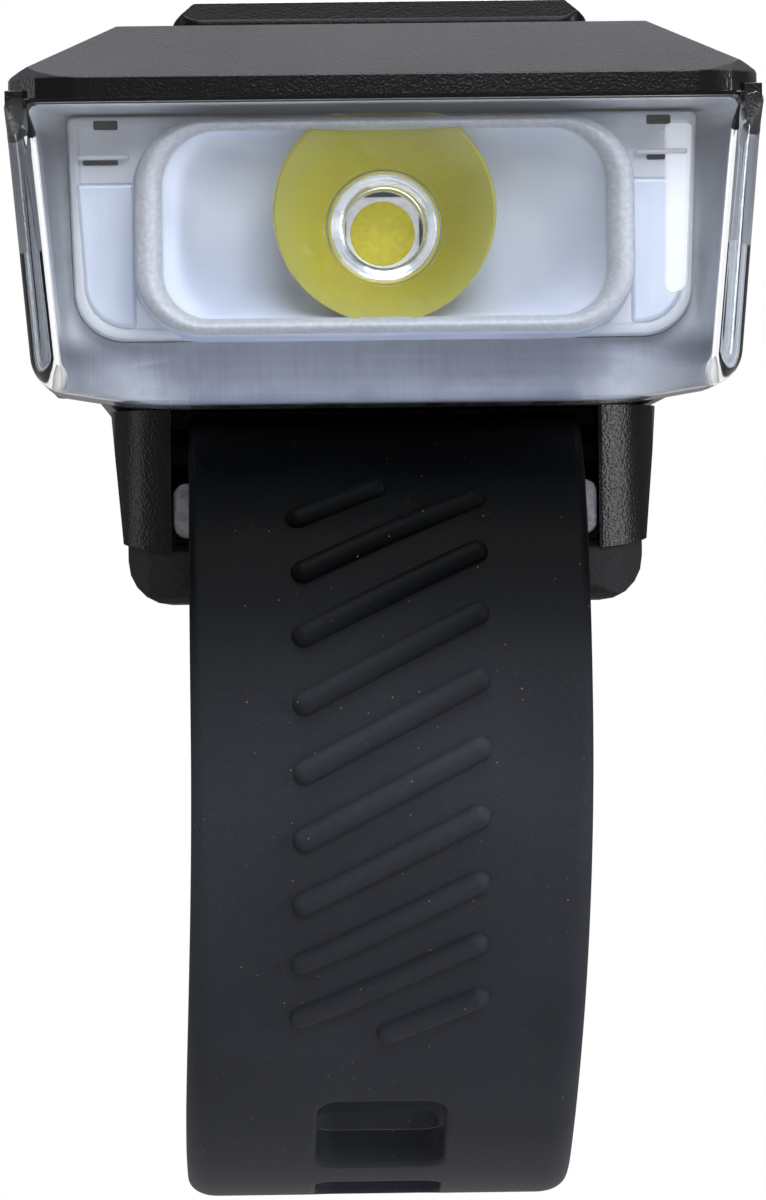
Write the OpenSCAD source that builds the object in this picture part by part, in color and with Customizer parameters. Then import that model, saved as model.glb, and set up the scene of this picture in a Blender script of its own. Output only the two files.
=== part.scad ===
// Bike headlight with a rubber-strap handlebar mount.
// Origin on the handlebar axis, X along the bar, beam towards -Y, Z up.

/* [Handlebar seat] */
// Diameter of the handlebar that the saddle is moulded for
bar_d = 31.8; // [25.4:0.1:34]
// Radial clearance between bar and saddle
bar_fit = 0.1; // [0:0.05:0.3]
// Thickness of the rubber saddle over the bar
saddle_t = 2; // [1.6:0.1:2.6]
// Width of the saddle along the bar
saddle_w = 28; // [24:0.5:30]
// Height of the saddle legs above the bar axis
leg_z = 8.8; // [8.5:0.1:9]

/* [Base bracket] */
// Thickness of the bracket over the crown of the saddle
crown_t = 1.4; // [1.2:0.1:2.4]
// Length of the bracket across the bar
base_len = 38; // [37:0.5:40]
// Width of the bracket where it meets the housing
base_w = 29.8; // [28:0.2:31]
// Width of the bracket at its lower edge
base_low_w = 28.4; // [27:0.2:29.6]
// Corner radius of the bracket seen from above
base_corner_r = 4.5; // [2:0.5:6]

/* [Housing] */
// Width of the housing at the lens
head_w = 40.2; // [38:0.2:43]
// Distance from the bar axis to the lens front
front_len = 30; // [28:0.5:32]
// Distance from the bar axis to the rear wall
rear_len = 32; // [30:0.5:36]
// Height of the lens and of the lower case
lens_h = 16.2; // [15.4:0.2:18]
// Wall thickness of the housing
wall = 1.6; // [1.2:0.1:2]
// Height of the upright edge band of the cover
band_h = 1.1; // [0.8:0.1:2]
// Height of the sloping facets of the cover
facet_h = 3.1; // [2:0.1:4]
// Width of the flat top of the cover
flat_w = 28.4; // [26:0.2:31]

/* [Top pad and button] */
// Width of the raised pad on the cover
pad_w = 22.4; // [21:0.2:24]
// Length of the raised pad
pad_len = 40; // [37:0.5:42]
// Height that the pad stands above the cover
pad_h = 1.6; // [1:0.1:2]
// Width of the power button
button_w = 17.8; // [15:0.2:18.6]
// Length of the power button
button_len = 12; // [9:0.5:13]
// Travel of the power button
button_travel = 0.4; // [0.3:0.05:0.5]

/* [Optics] */
// Diameter of the collimator at its front
optic_d = 11.9; // [10:0.1:12.2]
// Height of the optical axis above the housing floor
optic_rise = 10.2; // [9.8:0.1:10.4]
// Thickness of the clear front wall
lens_t = 1.8; // [1.2:0.1:2.2]

/* [Strap] */
// Width of the strap
strap_w = 21.2; // [19:0.2:22.4]
// Thickness of the strap
strap_t = 2.2; // [1.8:0.1:2.4]
// Distance from the bar axis to the front of the loop
loop_front = 31.5; // [30:0.5:34]
// Distance from the bar axis to the back of the loop
loop_rear = 24; // [23:0.25:24.5]
// Distance from the bar axis down to the bottom of the loop
loop_low = 24.6; // [22:0.2:27]
// Number of raised grip ribs
rib_count = 10; // [4:1:10]
// Pitch of the ribs along the strap
rib_pitch = 3.66; // [3:0.02:3.8]
// Width of a rib
rib_w = 1.3; // [0.9:0.1:1.6]
// Slope of the ribs across the strap
rib_angle = 27.5; // [10:0.5:35]
// Width of the fastening slots
slot_w = 7; // [6.4:0.1:8]
// Length of the fastening slots along the strap
slot_len = 7.8; // [7:0.1:8]

/* [Rear port] */
// Width of the rubber port cover
flap_w = 14; // [13:0.2:15]
// Height of the rubber port cover
flap_h = 6; // [5.6:0.1:6.4]

/* [Hidden] */
$fn = 64;

// Overrun of cuts past the faces they open
over = 1;
// Gap between pieces of one assembly that lie side by side
seat_gap = 0.1;
// Gap between pieces that move against each other
run_gap = 0.3;

// Heights of the stack, from the bar up
seat_r = bar_d / 2 + bar_fit;
saddle_r = seat_r + saddle_t;
floor_z = saddle_r + crown_t;
rim_z = floor_z + lens_h;
band_z = rim_z + band_h;
cover_z = band_z + facet_h;
pad_z = cover_z + pad_h;

// Housing plan and sections
head_taper = 2.5;
head_r_w = head_w / 2 - head_taper;
head_front_r = 1.2;
cover_front_r = 3.8;
head_rear_r = 6;
// Half width low on the side and the height where the side turns in
head_draft = 1.2;
head_low_w = head_w / 2 - head_draft;
head_turn = 2.9;
head_low_r = 2;
head_flat = 13;
head_sweep = 0.9;
lens_low_r = 3.4;
rear_low_r = 4;
rear_lean = 1.2;
flat_inset = 6;
cover_t = 1.5;

// Front unit
lens_side_t = 1.3;
lens_low_t = 1.2;
lens_depth = 11.6;
seal_t = 0.4;
seal_w = 0.9;
lens_back_y = -front_len + lens_depth;
case_front_y = lens_back_y + seal_t;
belly_side = 0.5;
belly_x = base_w / 2 + belly_side;
belly_lip = 1.2;
belly_step = 0.7;
belly_rise = 2.2;
ear_len = 6;
ear_drop = 2.2;
ear_taper = 0.7;
ear_t = 1;

// Silver tub, its front ring and the surround
ring_margin = 6.85;
ring_w = head_w - 2 * ring_margin;
ring_t = 1.5;
ring_rise = 3.8;
ring_low = floor_z + ring_rise;
ring_edge = 0.7;
ring_r = 2.9;
ring_set = 3;
ring_y = -front_len + ring_set;
tub_depth = 7.4;
tub_back_y = ring_y + tub_depth;
optic_bore = 3.4;
bezel_t = 1;
bezel_set = 8;
bezel_y = -front_len + bezel_set;
bezel_gap = 0.35;
window_w = 3.4;
window_h = 7.8;
window_t = 0.8;
window_rise = 8;
window_z = floor_z + window_rise;
window_off = 1.85;
window_x = ring_w / 2 + window_off;
window_lip = 0.5;

// Collimator
optic_z = floor_z + optic_rise;
optic_front_y = ring_y;
optic_tail = 0.3;
optic_back_y = tub_back_y + optic_tail;
optic_rim_t = 1;
optic_back_r = 2.9;
optic_cup_r = 2.2;
optic_cup_depth = 2.2;
optic_well_r = 3.1;
optic_well_depth = 3;
optic_cut_gap = 0.15;

// Light emitter, its board and the heat sink
led_size = 4;
led_t = 0.7;
phosphor_d = 3.5;
phosphor_t = 0.35;
led_board_w = 16;
led_board_h = 9.6;
led_board_t = 1.2;
led_gap = 0.4;
led_board_y = optic_back_y + led_t + led_gap;
sink_margin = 3.6;
sink_w = head_w - 2 * sink_margin;
sink_t = 1.4;
sink_fin_t = 0.8;
sink_fin_depth = 1.2;
sink_fins = 9;
sink_low_gap = 0.6;
sink_top_gap = 1.4;
lead_r = 0.45;
lead_step = 1.3;
notch_w = 1.5;
sink_y = led_board_y + led_board_t;

// Battery, foam strips and boards
cell_margin = 6.6;
cell_w = head_w - 2 * cell_margin;
cell_front_y = -11.6;
cell_gap = 2.15;
cell_r = 1.6;
cell_h = 8.6;
lead_rise = 0.55;
foam_w = 4;
foam_gap = 0.4;
boss_h = 2.6;
foam_t = 2.9;
lead_z = floor_z + wall + foam_t + cell_h + lead_rise;
board_margin = 5.8;
board_w = head_w - 2 * board_margin;
board_t = 1;
board_front_y = -10.6;
board_rear_gap = 0.5;
board_drop = 2.2;
board_z = rim_z - board_drop;
post_w = 2.6;
post_len = 3;
board_corner = 1;

// Tactile switch under the button
switch_w = 5.2;
switch_h = 1.5;
switch_r = 1;
switch_bore_r = 1.3;
switch_stem_h = 1.4;
stem_rise = 0.7;
button_y = -4;
button_r = 4.6;
button_crown = 0.25;
flange_w = 1;
flange_t = 0.6;
boss_r = 1.6;

// Indicator window and its light guide
ind_w = 9;
ind_len = 2;
ind_y = 10.5;
ind_guide_w = 6.6;
ind_guide_len = 1.4;
lamp_size = 1.2;
lamp_h = 0.7;
lamp_count = 4;

// Charging socket
flap_recess = 0.9;
usb_w = 8.94;
usb_h = 3.2;
usb_depth = 7.3;
usb_wall = 0.3;
usb_r = 1.5;
usb_rear = rear_len - wall - flap_recess / 2 - seat_gap;
cell_len = usb_rear - usb_depth - cell_gap - cell_front_y;
tongue_w = 6.7;
tongue_t = 0.7;
tongue_len = 4.6;
port_w = 11;
port_h = 4.2;
port_r = 1.2;
flap_t = 1.2;
flap_r = 1.8;
plug_w = 9.6;
plug_h = 3;
plug_depth = 0.8;
hinge_out = 0.7;
tether_w = 2;
tether_h = 3.6;
pull_w = 1;
pull_h = 3;
pull_out = 0.6;

// Screws
screw_r = 1;
screw_hole_r = 1.15;
screw_pilot_r = 1;
head_r = 1.9;
head_h = 1.2;
drive_r = 0.75;
drive_depth = 0.7;
boss_wall_r = 2.3;
base_screw_x = 8.6;
base_screw_y = 8.6;
base_head_drop = 2.4;
base_head_z = floor_z - base_head_drop;
base_screw_len = 5.4;
case_screw_side = 7.7;
case_screw_x = head_w / 2 - case_screw_side;
case_screw_in = 6.4;
case_screw_y = rear_len - case_screw_in;
case_head_rise = 8.1;
case_head_z = floor_z + case_head_rise;
case_screw_len = 8.4;
case_column_r = 2.9;

// Bracket pocket, strap pin and hook
pocket_w = 23.2;
pin_r = 1.5;
pin_y = -14.8;
pin_drop = 2.5;
pin_z = floor_z - pin_drop;
bulb_r = 2.2;
pin_in = 1.9;
pocket_back = 0.4;
retainer_t = 1.6;
retainer_drop = 4;
retainer_top = floor_z - retainer_drop;
retainer_in = 0.7;
seam_drop = 7.8;
seam_z = floor_z - seam_drop;
seam_arch = 2.4;
seam_r = (base_len * base_len / 4 + seam_arch * seam_arch) / (2 * seam_arch);
pad_inset = 0.3;
pad_fillet = 2;
pad_side_r = 2.4;
hook_w = 6;
hook_drop = 7.6;
hook_z = floor_z - hook_drop;
hook_t = 1.8;
hook_lip = 1.1;
hook_lip_t = 1;
hook_root = 0.6;

// Strap path about the bar: rise in front, drop behind
strap_mid_z = 2.2;
path_steps = 14;
tail_drop = 5.4;
tail_top = floor_z - tail_drop;
tab_r = 2.6;
tab_len = 6.4;
rib_proud = 0.5;
rib_len = 11.4;
first_rib = 11.8;
slot_r = 1.2;
// Slot centres along the outer face from the crest
slot_first = 55;
slot_pitch = 11.4;
loose_slots = 6;
hook_slot_below = 0.4;
hook_slot_above = 5.3;
hook_slot_low = hook_z - hook_slot_below;
hook_slot_high = hook_z + hook_slot_above;
joint_gap = 0.3;
split_front = 61;
split_rear = 95.2;

// Points of an arc about c from angle a0 to a1
function arc(c, r, a0, a1, n = 6) =
    [for (i = [0:n]) let (a = a0 + (a1 - a0) * i / n) c + r * [cos(a), sin(a)]];

function unit(v) = v / norm(v);

// Turn from direction u to direction v, between -180 and 180
function turn(u, v) = atan2(u[0] * v[1] - u[1] * v[0], u * v);

// Corner b between a and c, rounded to radius r
function corner(a, b, c, r, n) =
    r <= 0 ? [b] :
    let (u = unit(a - b), v = unit(c - b))
    let (half = acos(u * v) / 2)
    let (mid = b + unit(u + v) * r / sin(half))
    let (start = b + u * r / tan(half) - mid, stop = b + v * r / tan(half) - mid)
    let (sweep = turn(start, stop))
    [for (i = [0:n]) let (t = sweep * i / n)
        mid + [start[0] * cos(t) - start[1] * sin(t), start[0] * sin(t) + start[1] * cos(t)]];

// Outline p with each corner rounded to its own radius
function rounded(p, r, n = 5) =
    [for (i = [0:len(p) - 1])
        each corner(p[(i + len(p) - 1) % len(p)], p[i], p[(i + 1) % len(p)], r[i], n)];

// Left and right halves of an outline given by its right side, bottom to top
function both_sides(p) =
    concat(p, [for (i = [len(p) - 1:-1:0]) [-p[i][0], p[i][1]]]);

// A list followed by itself in reverse
function and_back(r) = concat(r, [for (i = [len(r) - 1:-1:0]) r[i]]);

// Extrusions of an outline drawn in XZ along Y, and of one drawn in YZ along X
module along_y(y0, y1) translate([0, y1, 0]) rotate([90, 0, 0]) linear_extrude(height = y1 - y0) children();
module along_x(x0, x1) translate([x0, 0, 0]) rotate([90, 0, 90]) linear_extrude(height = x1 - x0)
    children();
module along_z(z0, z1) translate([0, 0, z0]) linear_extrude(height = z1 - z0) children();
module mirrored_x() { children(); mirror([1, 0, 0]) children(); }

// Box between two corners
module box(a, b) translate(a) cube(b - a);

// Rounded rectangle from corner a to corner b
module pane(a, b, r, n = 5)
    polygon(rounded([a, [b[0], a[1]], b, [a[0], b[1]]], [r, r, r, r], n));

// Cylinder along Y
module rod_y(x, z, r, y0, y1) translate([x, y1, z]) rotate([90, 0, 0]) cylinder(r = r, h = y1 - y0);

// Housing seen from the front, walls moved in by side and floor by low
module head_front(side, low, top_z) {
    right = [
        [head_flat - side, floor_z + low],
        [head_low_w - side - head_low_r / 4, floor_z + low + head_sweep],
        [head_low_w - side, floor_z + max(head_turn, low + head_sweep + head_low_r)],
        [head_w / 2 - side, rim_z],
        [head_w / 2 - side, max(top_z, rim_z + over)]
    ];
    polygon(rounded(both_sides(right), and_back([0, max(head_low_r - side, 0.4 * head_low_r), 0, 0, 0])));
}

// Housing seen from above, walls moved in by side and end walls by front and rear
module head_plan(side, front, rear, front_r = head_front_r) {
    a = [head_w / 2 - side, -front_len + front];
    b = [head_r_w - side, rear_len - rear];
    polygon(rounded([a, b, [-b[0], b[1]], [-a[0], a[1]]],
        [front_r, head_rear_r - rear, head_rear_r - rear, front_r]));
}

// Housing seen from the side
module head_side(front, low, rear, top_z) {
    polygon(rounded([
        [-front_len + front, floor_z + low],
        [rear_len - rear_lean - rear, floor_z + low],
        [rear_len - rear, rim_z],
        [rear_len - rear, max(top_z, rim_z + over)],
        [-front_len + front, max(top_z, rim_z + over)]
    ], [lens_low_r - low / 2, rear_low_r - low / 2, 0, 0, 0]));
}

module head_form(side, front, low, rear, top_z) {
    intersection() {
        along_y(-front_len - over, rear_len + over) head_front(side, low, top_z);
        along_x(-head_w, head_w) head_side(front, low, rear, top_z);
        along_z(floor_z - over, top_z) head_plan(side, front, rear);
    }
}

// Cover form: upright band, then facets up to the flat top
module cover_form(side, top_z) {
    half = head_w / 2 - side;
    rise = top_z - band_z;
    intersection() {
        along_y(-front_len - over, rear_len + over)
            polygon(both_sides([[half, rim_z], [half, band_z], [flat_w / 2 - side, top_z]]));
        along_x(-head_w, head_w)
            polygon([
                [-front_len + side, rim_z],
                [rear_len - side, rim_z],
                [rear_len - side, band_z],
                [rear_len - side - flat_inset, top_z],
                [-front_len + side + flat_inset, top_z],
                [-front_len + side, band_z]
            ]);
        along_z(rim_z, band_z + rise) head_plan(side, side, side, cover_front_r - side);
    }
}

module button_plan(grow, z0, z1) {
    along_z(z0, z1)
        pane([-button_w / 2 - grow, button_y - button_len / 2 - grow],
            [button_w / 2 + grow, button_y + button_len / 2 + grow], button_r + grow);
}

module indicator_plan(grow, z0, z1) {
    along_z(z0, z1)
        pane([-ind_w / 2 - grow, ind_y - ind_len / 2 - grow],
            [ind_w / 2 + grow, ind_y + ind_len / 2 + grow], ind_len / 2 + grow - seat_gap / 2);
}

// Bulkhead of the cover behind the lens
bulkhead_t = 1.2;
pad_sink = 0.5;

module ear(grow) {
    y0 = -front_len + head_front_r;
    top = rim_z + grow + ear_t / 2;
    mirrored_x()
        along_x(head_w / 2 - ear_t - grow, head_w / 2 + over * (grow > 0 ? 1 : 0))
            polygon([
                [y0 - grow, top],
                [y0 - grow, rim_z - ear_drop - grow],
                [y0 + ear_len + grow, rim_z - ear_drop + ear_taper - grow],
                [y0 + ear_len + grow, top]
            ]);
}

module top_cover() {
    roof_z = cover_z - cover_t;
    color([0.13, 0.12, 0.12])
    difference() {
        union() {
            difference() {
                cover_form(0, cover_z);
                difference() {
                    cover_form(wall, roof_z);
                    box([-head_w, -head_w, 0], [head_w, case_front_y - seal_t, pad_z]);
                }
            }
            intersection() {
                ear(0);
                head_form(0, 0, 0, 0, rim_z + over);
            }
            box([-head_w / 2 + 2 * wall, case_front_y, rim_z - lens_low_t],
                [head_w / 2 - 2 * wall, case_front_y + bulkhead_t, roof_z]);
            mirrored_x() translate([case_screw_x, case_screw_y, rim_z])
                cylinder(r = boss_wall_r, h = roof_z - rim_z);
        }
        mirrored_x()
            translate([case_screw_x, case_screw_y, rim_z - over])
                cylinder(r = screw_pilot_r, h = band_h + over + 1.4 * screw_r);
        button_plan(run_gap, rim_z, pad_z);
        indicator_plan(seat_gap, rim_z, pad_z);
        along_z(cover_z - pad_sink, pad_z)
            pane([-pad_w / 2, -pad_len / 2], [pad_w / 2, pad_len / 2], 3 * pad_sink);
    }
}

module top_pad() {
    low = cover_z - pad_sink;
    color([0.1, 0.1, 0.11])
    difference() {
        intersection() {
            along_z(low, pad_z) pane([-pad_w / 2, -pad_len / 2], [pad_w / 2, pad_len / 2], 3 * pad_sink);
            along_y(-pad_len, pad_len)
                polygon(both_sides([[pad_w / 2, low], [pad_w / 2, cover_z + pad_h / 3],
                    [pad_w / 2 - pad_h * 0.7, pad_z]]));
            along_x(-pad_w, pad_w)
                polygon(both_sides([[pad_len / 2, low], [pad_len / 2, cover_z + pad_h / 3],
                    [pad_len / 2 - pad_h * 0.7, pad_z]]));
        }
        button_plan(run_gap, low - over, pad_z + over);
        indicator_plan(0, low - over, pad_z + over);
    }
}

module power_button() {
    top_z = pad_z + button_crown;
    roof_z = cover_z - cover_t;
    crown_r = (pow(button_w / 2, 2) + pow(button_crown, 2)) / (2 * button_crown);
    crown_half = asin(button_w / 2 / crown_r);
    flange_z = roof_z - run_gap;
    color([0.16, 0.16, 0.17])
    union() {
        intersection() {
            button_plan(0, flange_z - flange_t, top_z);
            along_y(button_y - button_len, button_y + button_len)
                polygon(concat(arc([0, top_z - crown_r], crown_r, 90 - crown_half, 90 + crown_half, 16),
                    [[-button_w / 2, 0], [button_w / 2, 0]]));
        }
        button_plan(flange_w, flange_z - flange_t, flange_z);
        translate([0, button_y, stem_top()]) cylinder(r = boss_r, h = flange_z - flange_t - stem_top());
    }
}

// Height of the switch stem at rest
function stem_top() = board_z + board_t + switch_h + stem_rise;

module indicator_window() {
    color([0.75, 0.8, 0.85])
    union() {
        indicator_plan(0, cover_z - pad_sink, pad_z);
        box([-ind_guide_w / 2, ind_y - ind_guide_len / 2, board_z + board_t + lamp_h + run_gap],
            [ind_guide_w / 2, ind_y + ind_guide_len / 2, cover_z]);
    }
}

module front_lens() {
    color([0.85, 0.88, 0.92])
    difference() {
        intersection() {
            head_form(0, 0, 0, 0, rim_z);
            box([-head_w, -head_w, 0], [head_w, lens_back_y, pad_z]);
        }
        difference() {
            head_form(lens_side_t, lens_t, lens_low_t, 0, rim_z - lens_low_t);
            box([-head_w, -head_w, rim_z - lens_low_t], [head_w, head_w, pad_z]);
        }
        ear(seat_gap);
    }
}

// Gasket between the lens and the case
module lens_seal() {
    color([0.05, 0.05, 0.05])
    intersection() {
        difference() {
            head_form(seat_gap, 0, seat_gap, 0, rim_z);
            head_form(seat_gap + seal_w, 0, seat_gap + seal_w, 0, rim_z - lens_low_t);
        }
        box([-head_w, lens_back_y, 0], [head_w, case_front_y, pad_z]);
    }
}

// Surround behind the lens, open for the tub and for the side windows
module inner_bezel() {
    color([0.3, 0.31, 0.35])
    difference() {
        union() {
            intersection() {
                head_form(lens_side_t + seat_gap, lens_t, lens_low_t + seat_gap, 0,
                    rim_z - lens_low_t - seat_gap);
                box([-head_w, bezel_y, 0], [head_w, bezel_y + bezel_t, pad_z]);
            }
            intersection() {
                difference() {
                    head_form(lens_side_t + seat_gap, lens_t, lens_low_t + seat_gap, 0,
                        rim_z - lens_low_t - seat_gap);
                    head_form(lens_side_t + seat_gap + bezel_t, lens_t, lens_low_t + seat_gap + bezel_t, 0,
                        rim_z - lens_low_t - seat_gap - bezel_t);
                }
                box([-head_w, bezel_y, 0], [head_w, lens_back_y, pad_z]);
            }
        }
        along_y(bezel_y - over, lens_back_y + over)
            pane([-ring_w / 2 + ring_edge - bezel_gap, ring_low + ring_edge / 2 - bezel_gap],
                [ring_w / 2 - ring_edge + bezel_gap, rim_z + over], ring_r - ring_edge + bezel_gap);
        mirrored_x()
            along_y(bezel_y - over, bezel_y + bezel_t + over)
                pane([window_x - window_w / 2, window_z - window_h / 2],
                    [window_x + window_w / 2, window_z + window_h / 2], window_lip);
    }
}

// Frosted side windows, seated behind the surround
module side_windows() {
    color([0.75, 0.79, 0.84])
    mirrored_x()
        union() {
            along_y(bezel_y + seat_gap, bezel_y + bezel_t)
                pane([window_x - window_w / 2 + seat_gap / 2, window_z - window_h / 2 + seat_gap / 2],
                    [window_x + window_w / 2 - seat_gap / 2, window_z + window_h / 2 - seat_gap / 2],
                        window_lip);
            intersection() {
                along_y(bezel_y + bezel_t, bezel_y + bezel_t + window_t)
                    pane([window_x - window_w / 2 - window_lip / 2, window_z - window_h / 2 - window_lip],
                        [window_x + window_w / 2, window_z + window_h / 2 + window_lip], window_lip);
                head_form(lens_side_t + 3 * seat_gap + bezel_t, lens_t,
                    lens_low_t + 3 * seat_gap + bezel_t, 0, rim_z);
            }
        }
}

// Front ring and the tub behind it
module reflector() {
    ring_top = rim_z - lens_low_t - seat_gap;
    tub_x = ring_w / 2 - ring_t;
    tub_low = ring_low + ring_edge;
    color([0.72, 0.74, 0.78])
    difference() {
        union() {
            along_y(ring_y, ring_y + ring_edge)
                pane([-ring_w / 2, ring_low], [ring_w / 2, ring_top], ring_r);
            along_y(ring_y, tub_back_y + ring_edge)
                pane([-ring_w / 2 + ring_edge, ring_low + ring_edge / 2],
                    [ring_w / 2 - ring_edge, ring_top - ring_edge / 2], ring_r - ring_edge);
        }
        along_y(ring_y - over, tub_back_y)
            pane([-tub_x, tub_low], [tub_x, ring_top - ring_edge], ring_r - ring_edge);
        rod_y(0, optic_z, optic_bore, ring_y, tub_back_y + ring_t);
        rod_y(0, optic_z, optic_d / 2 + optic_cut_gap, ring_y - over, tub_back_y);
    }
}

// Total-internal-reflection lens, cut flat under the ring
module collimator() {
    depth = optic_back_y - optic_front_y;
    r = optic_d / 2;
    color([0.9, 0.92, 0.85])
    intersection() {
        translate([0, optic_front_y, optic_z]) rotate([-90, 0, 0])
            rotate_extrude($fn = 96)
                polygon([
                    [0, optic_well_depth],
                    [optic_well_r * 0.5, optic_well_depth - 0.12 * optic_well_r],
                    [optic_well_r * 0.85, optic_well_depth * 0.78],
                    [optic_well_r, 0],
                    [r, 0],
                    [r, optic_rim_t],
                    [r - 0.11 * r, optic_rim_t],
                    [0.75 * r + 0.25 * optic_back_r, optic_rim_t + 0.4 * (depth - optic_rim_t)],
                    [0.4 * r + 0.6 * optic_back_r, optic_rim_t + 0.75 * (depth - optic_rim_t)],
                    [optic_back_r, depth],
                    [optic_cup_r, depth],
                    [optic_cup_r * 0.94, depth - optic_cup_depth],
                    [0, depth - optic_cup_depth * 1.15]
                ]);
        box([-head_w, -front_len, optic_z - optic_d],
            [head_w, head_w, rim_z - lens_low_t - 2 * seat_gap]);
    }
}

module led_board() {
    color([0.85, 0.85, 0.83])
    difference() {
        along_y(led_board_y, led_board_y + led_board_t)
            pane([-led_board_w / 2, optic_z - led_board_h / 2],
                [led_board_w / 2, optic_z + led_board_h / 2], board_corner);
        for (side = [-1, 1])
            rod_y(side * (led_board_w / 2 - 2 * screw_r), optic_z, screw_r, led_board_y - over,
                led_board_y + led_board_t + over);
    }
}

module led_package() {
    color([0.92, 0.92, 0.93])
    difference() {
        along_y(led_board_y - led_t, led_board_y)
            pane([-led_size / 2, optic_z - led_size / 2], [led_size / 2, optic_z + led_size / 2],
                led_t / 3);
        rod_y(0, optic_z, phosphor_d / 2, led_board_y - led_t - over, led_board_y - led_t + phosphor_t);
    }
}

module led_phosphor() {
    color([0.85, 0.8, 0.1])
    rod_y(0, optic_z, phosphor_d / 2, led_board_y - led_t, led_board_y - led_t + phosphor_t);
}

module heat_sink() {
    low = floor_z + wall + sink_low_gap;
    top = rim_z - sink_top_gap;
    pitch = (sink_w - 2 * ring_t - sink_fin_t) / (sink_fins - 1);
    color([0.6, 0.61, 0.63])
    difference() {
        union() {
            along_y(sink_y, sink_y + sink_t) pane([-sink_w / 2, low], [sink_w / 2, top], 2 * board_corner);
            for (i = [0:sink_fins - 1])
                translate([-(sink_w / 2 - ring_t) + i * pitch, sink_y + sink_t, low + ring_t])
                    cube([sink_fin_t, sink_fin_depth, board_z - seat_gap - low - 2 * ring_t]);
        }
        mirrored_x() box([sink_w / 2 - sink_fin_t, sink_y - over, top - sink_top_gap - ring_t],
            [sink_w, sink_y + sink_t + over, top + over]);
        mirrored_x() box([led_board_w / 2 + lead_step - notch_w / 2, sink_y - over, lead_z - notch_w / 2],
            [led_board_w / 2 + lead_step + notch_w / 2, sink_y + sink_t + over, top + over]);
    }
}

// Corner places of the columns that carry the circuit board
function board_posts() =
    [for (y = [board_front_y + post_len / 2, case_screw_y - case_column_r - post_len / 2]) y];

module port_hole(grow, y0, y1) {
    z = port_z();
    along_y(y0, y1)
        pane([-port_w / 2 - grow, z - port_h / 2 - grow], [port_w / 2 + grow, z + port_h / 2 + grow],
        port_r);
}

function port_z() = board_z - usb_h / 2;

// Space beside the foot, where the floor of the case rises towards the rear
module belly(low) {
    start = case_front_y + belly_lip - low;
    mirrored_x() along_x(belly_x - low, head_w)
        polygon([[start, floor_z - over], [rear_len + over, floor_z - over],
            [rear_len + over, floor_z + belly_rise + low], [start, floor_z + belly_step + low]]);
}

module lower_case() {
    inner_low = floor_z + wall;
    color([0.1, 0.1, 0.1])
    difference() {
        union() {
            difference() {
                intersection() {
                    head_form(0, 0, 0, 0, rim_z);
                    box([-head_w, case_front_y, 0], [head_w, rear_len + over, pad_z]);
                }
                belly(0);
                difference() {
                    head_form(wall, -over, wall, wall + flap_recess / 2, rim_z + over);
                    belly(wall);
                    mirrored_x() translate([case_screw_x, case_screw_y, 0])
                        cylinder(r = case_column_r, h = pad_z);
                    for (sx = [-1, 1], sy = [-1, 1])
                        translate([sx * base_screw_x, sy * base_screw_y, 0])
                            cylinder(r = boss_wall_r, h = inner_low + boss_h);
                    for (y = board_posts(), sx = [-1, 1])
                        translate([sx * (board_w / 2 - seat_gap), y, 0])
                            box([-post_w / 2 + post_w / 2 * sx, -post_len / 2, 0],
                                [post_w / 2 + post_w / 2 * sx, post_len / 2, board_z]);
                    // Rails that hold the heat sink
                    box([-sink_w / 2, sink_y - seat_gap, 0],
                        [sink_w / 2, sink_y + sink_t, inner_low + sink_low_gap]);
                }
                mirrored_x() translate([case_screw_x, case_screw_y, case_head_z + case_screw_len - head_h]) 
                    cylinder(r = case_column_r + seat_gap, h = pad_z);
                // Rebate for the rim seal
                case_seal_form(over);
            }
        }
        for (sx = [-1, 1], sy = [-1, 1])
            translate([sx * base_screw_x, sy * base_screw_y, floor_z - over])
                cylinder(r = screw_pilot_r, h = wall + boss_h - wall / 2 + over);
        mirrored_x() translate([case_screw_x, case_screw_y, 0]) {
            cylinder(r = head_r + seat_gap, h = case_head_z + head_h);
            cylinder(r = screw_hole_r, h = pad_z);
        }
        port_hole(0, rear_len - 3 * wall, rear_len + over);
        flap_seat(run_gap);
    }
}

// Recess for the port cover in the rear wall
module flap_seat(grow) {
    z = port_z();
    along_y(rear_len - flap_recess, rear_len + over)
        pane([-flap_w / 2 - grow, z - flap_h / 2 - grow], [flap_w / 2 + grow, z + flap_h / 2 + grow],
            flap_r);
    along_y(rear_len - flap_recess, rear_len + over)
        pane([-flap_w / 2 - hinge_out - tether_w, z - tether_h / 2 - grow],
            [0, z + tether_h / 2 + grow], grow);
}

// Ring of the seal between case and cover, fitted in the rebate of the rim
module case_seal_form(above) {
    intersection() {
        difference() {
            head_form(wall / 2, 0, 0, (wall + flap_recess) / 2, rim_z + above);
            head_form(wall, 0, 0, wall + flap_recess / 2, rim_z + above);
        }
        box([-head_w, case_front_y, rim_z - wall / 2], [head_w, rear_len, rim_z + above]);
    }
}

module case_seal() {
    color([0.05, 0.05, 0.05]) case_seal_form(0);
}

module battery_cell() {
    low = floor_z + wall + foam_t;
    color([0.65, 0.66, 0.68])
    along_y(cell_front_y, cell_front_y + cell_len)
        pane([-cell_w / 2, low], [cell_w / 2, low + cell_h], cell_r, 4);
}

module battery_pads() {
    low = floor_z + wall;
    foam_half = base_screw_x - boss_wall_r - foam_gap;
    color([0.2, 0.2, 0.2])
    for (y = [-1, 1])
        translate([0, cell_front_y + cell_len / 2 + y * cell_len / 3.4, low])
            translate([-foam_half, -foam_w / 2, 0]) cube([2 * foam_half, foam_w, foam_t]);
}

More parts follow.
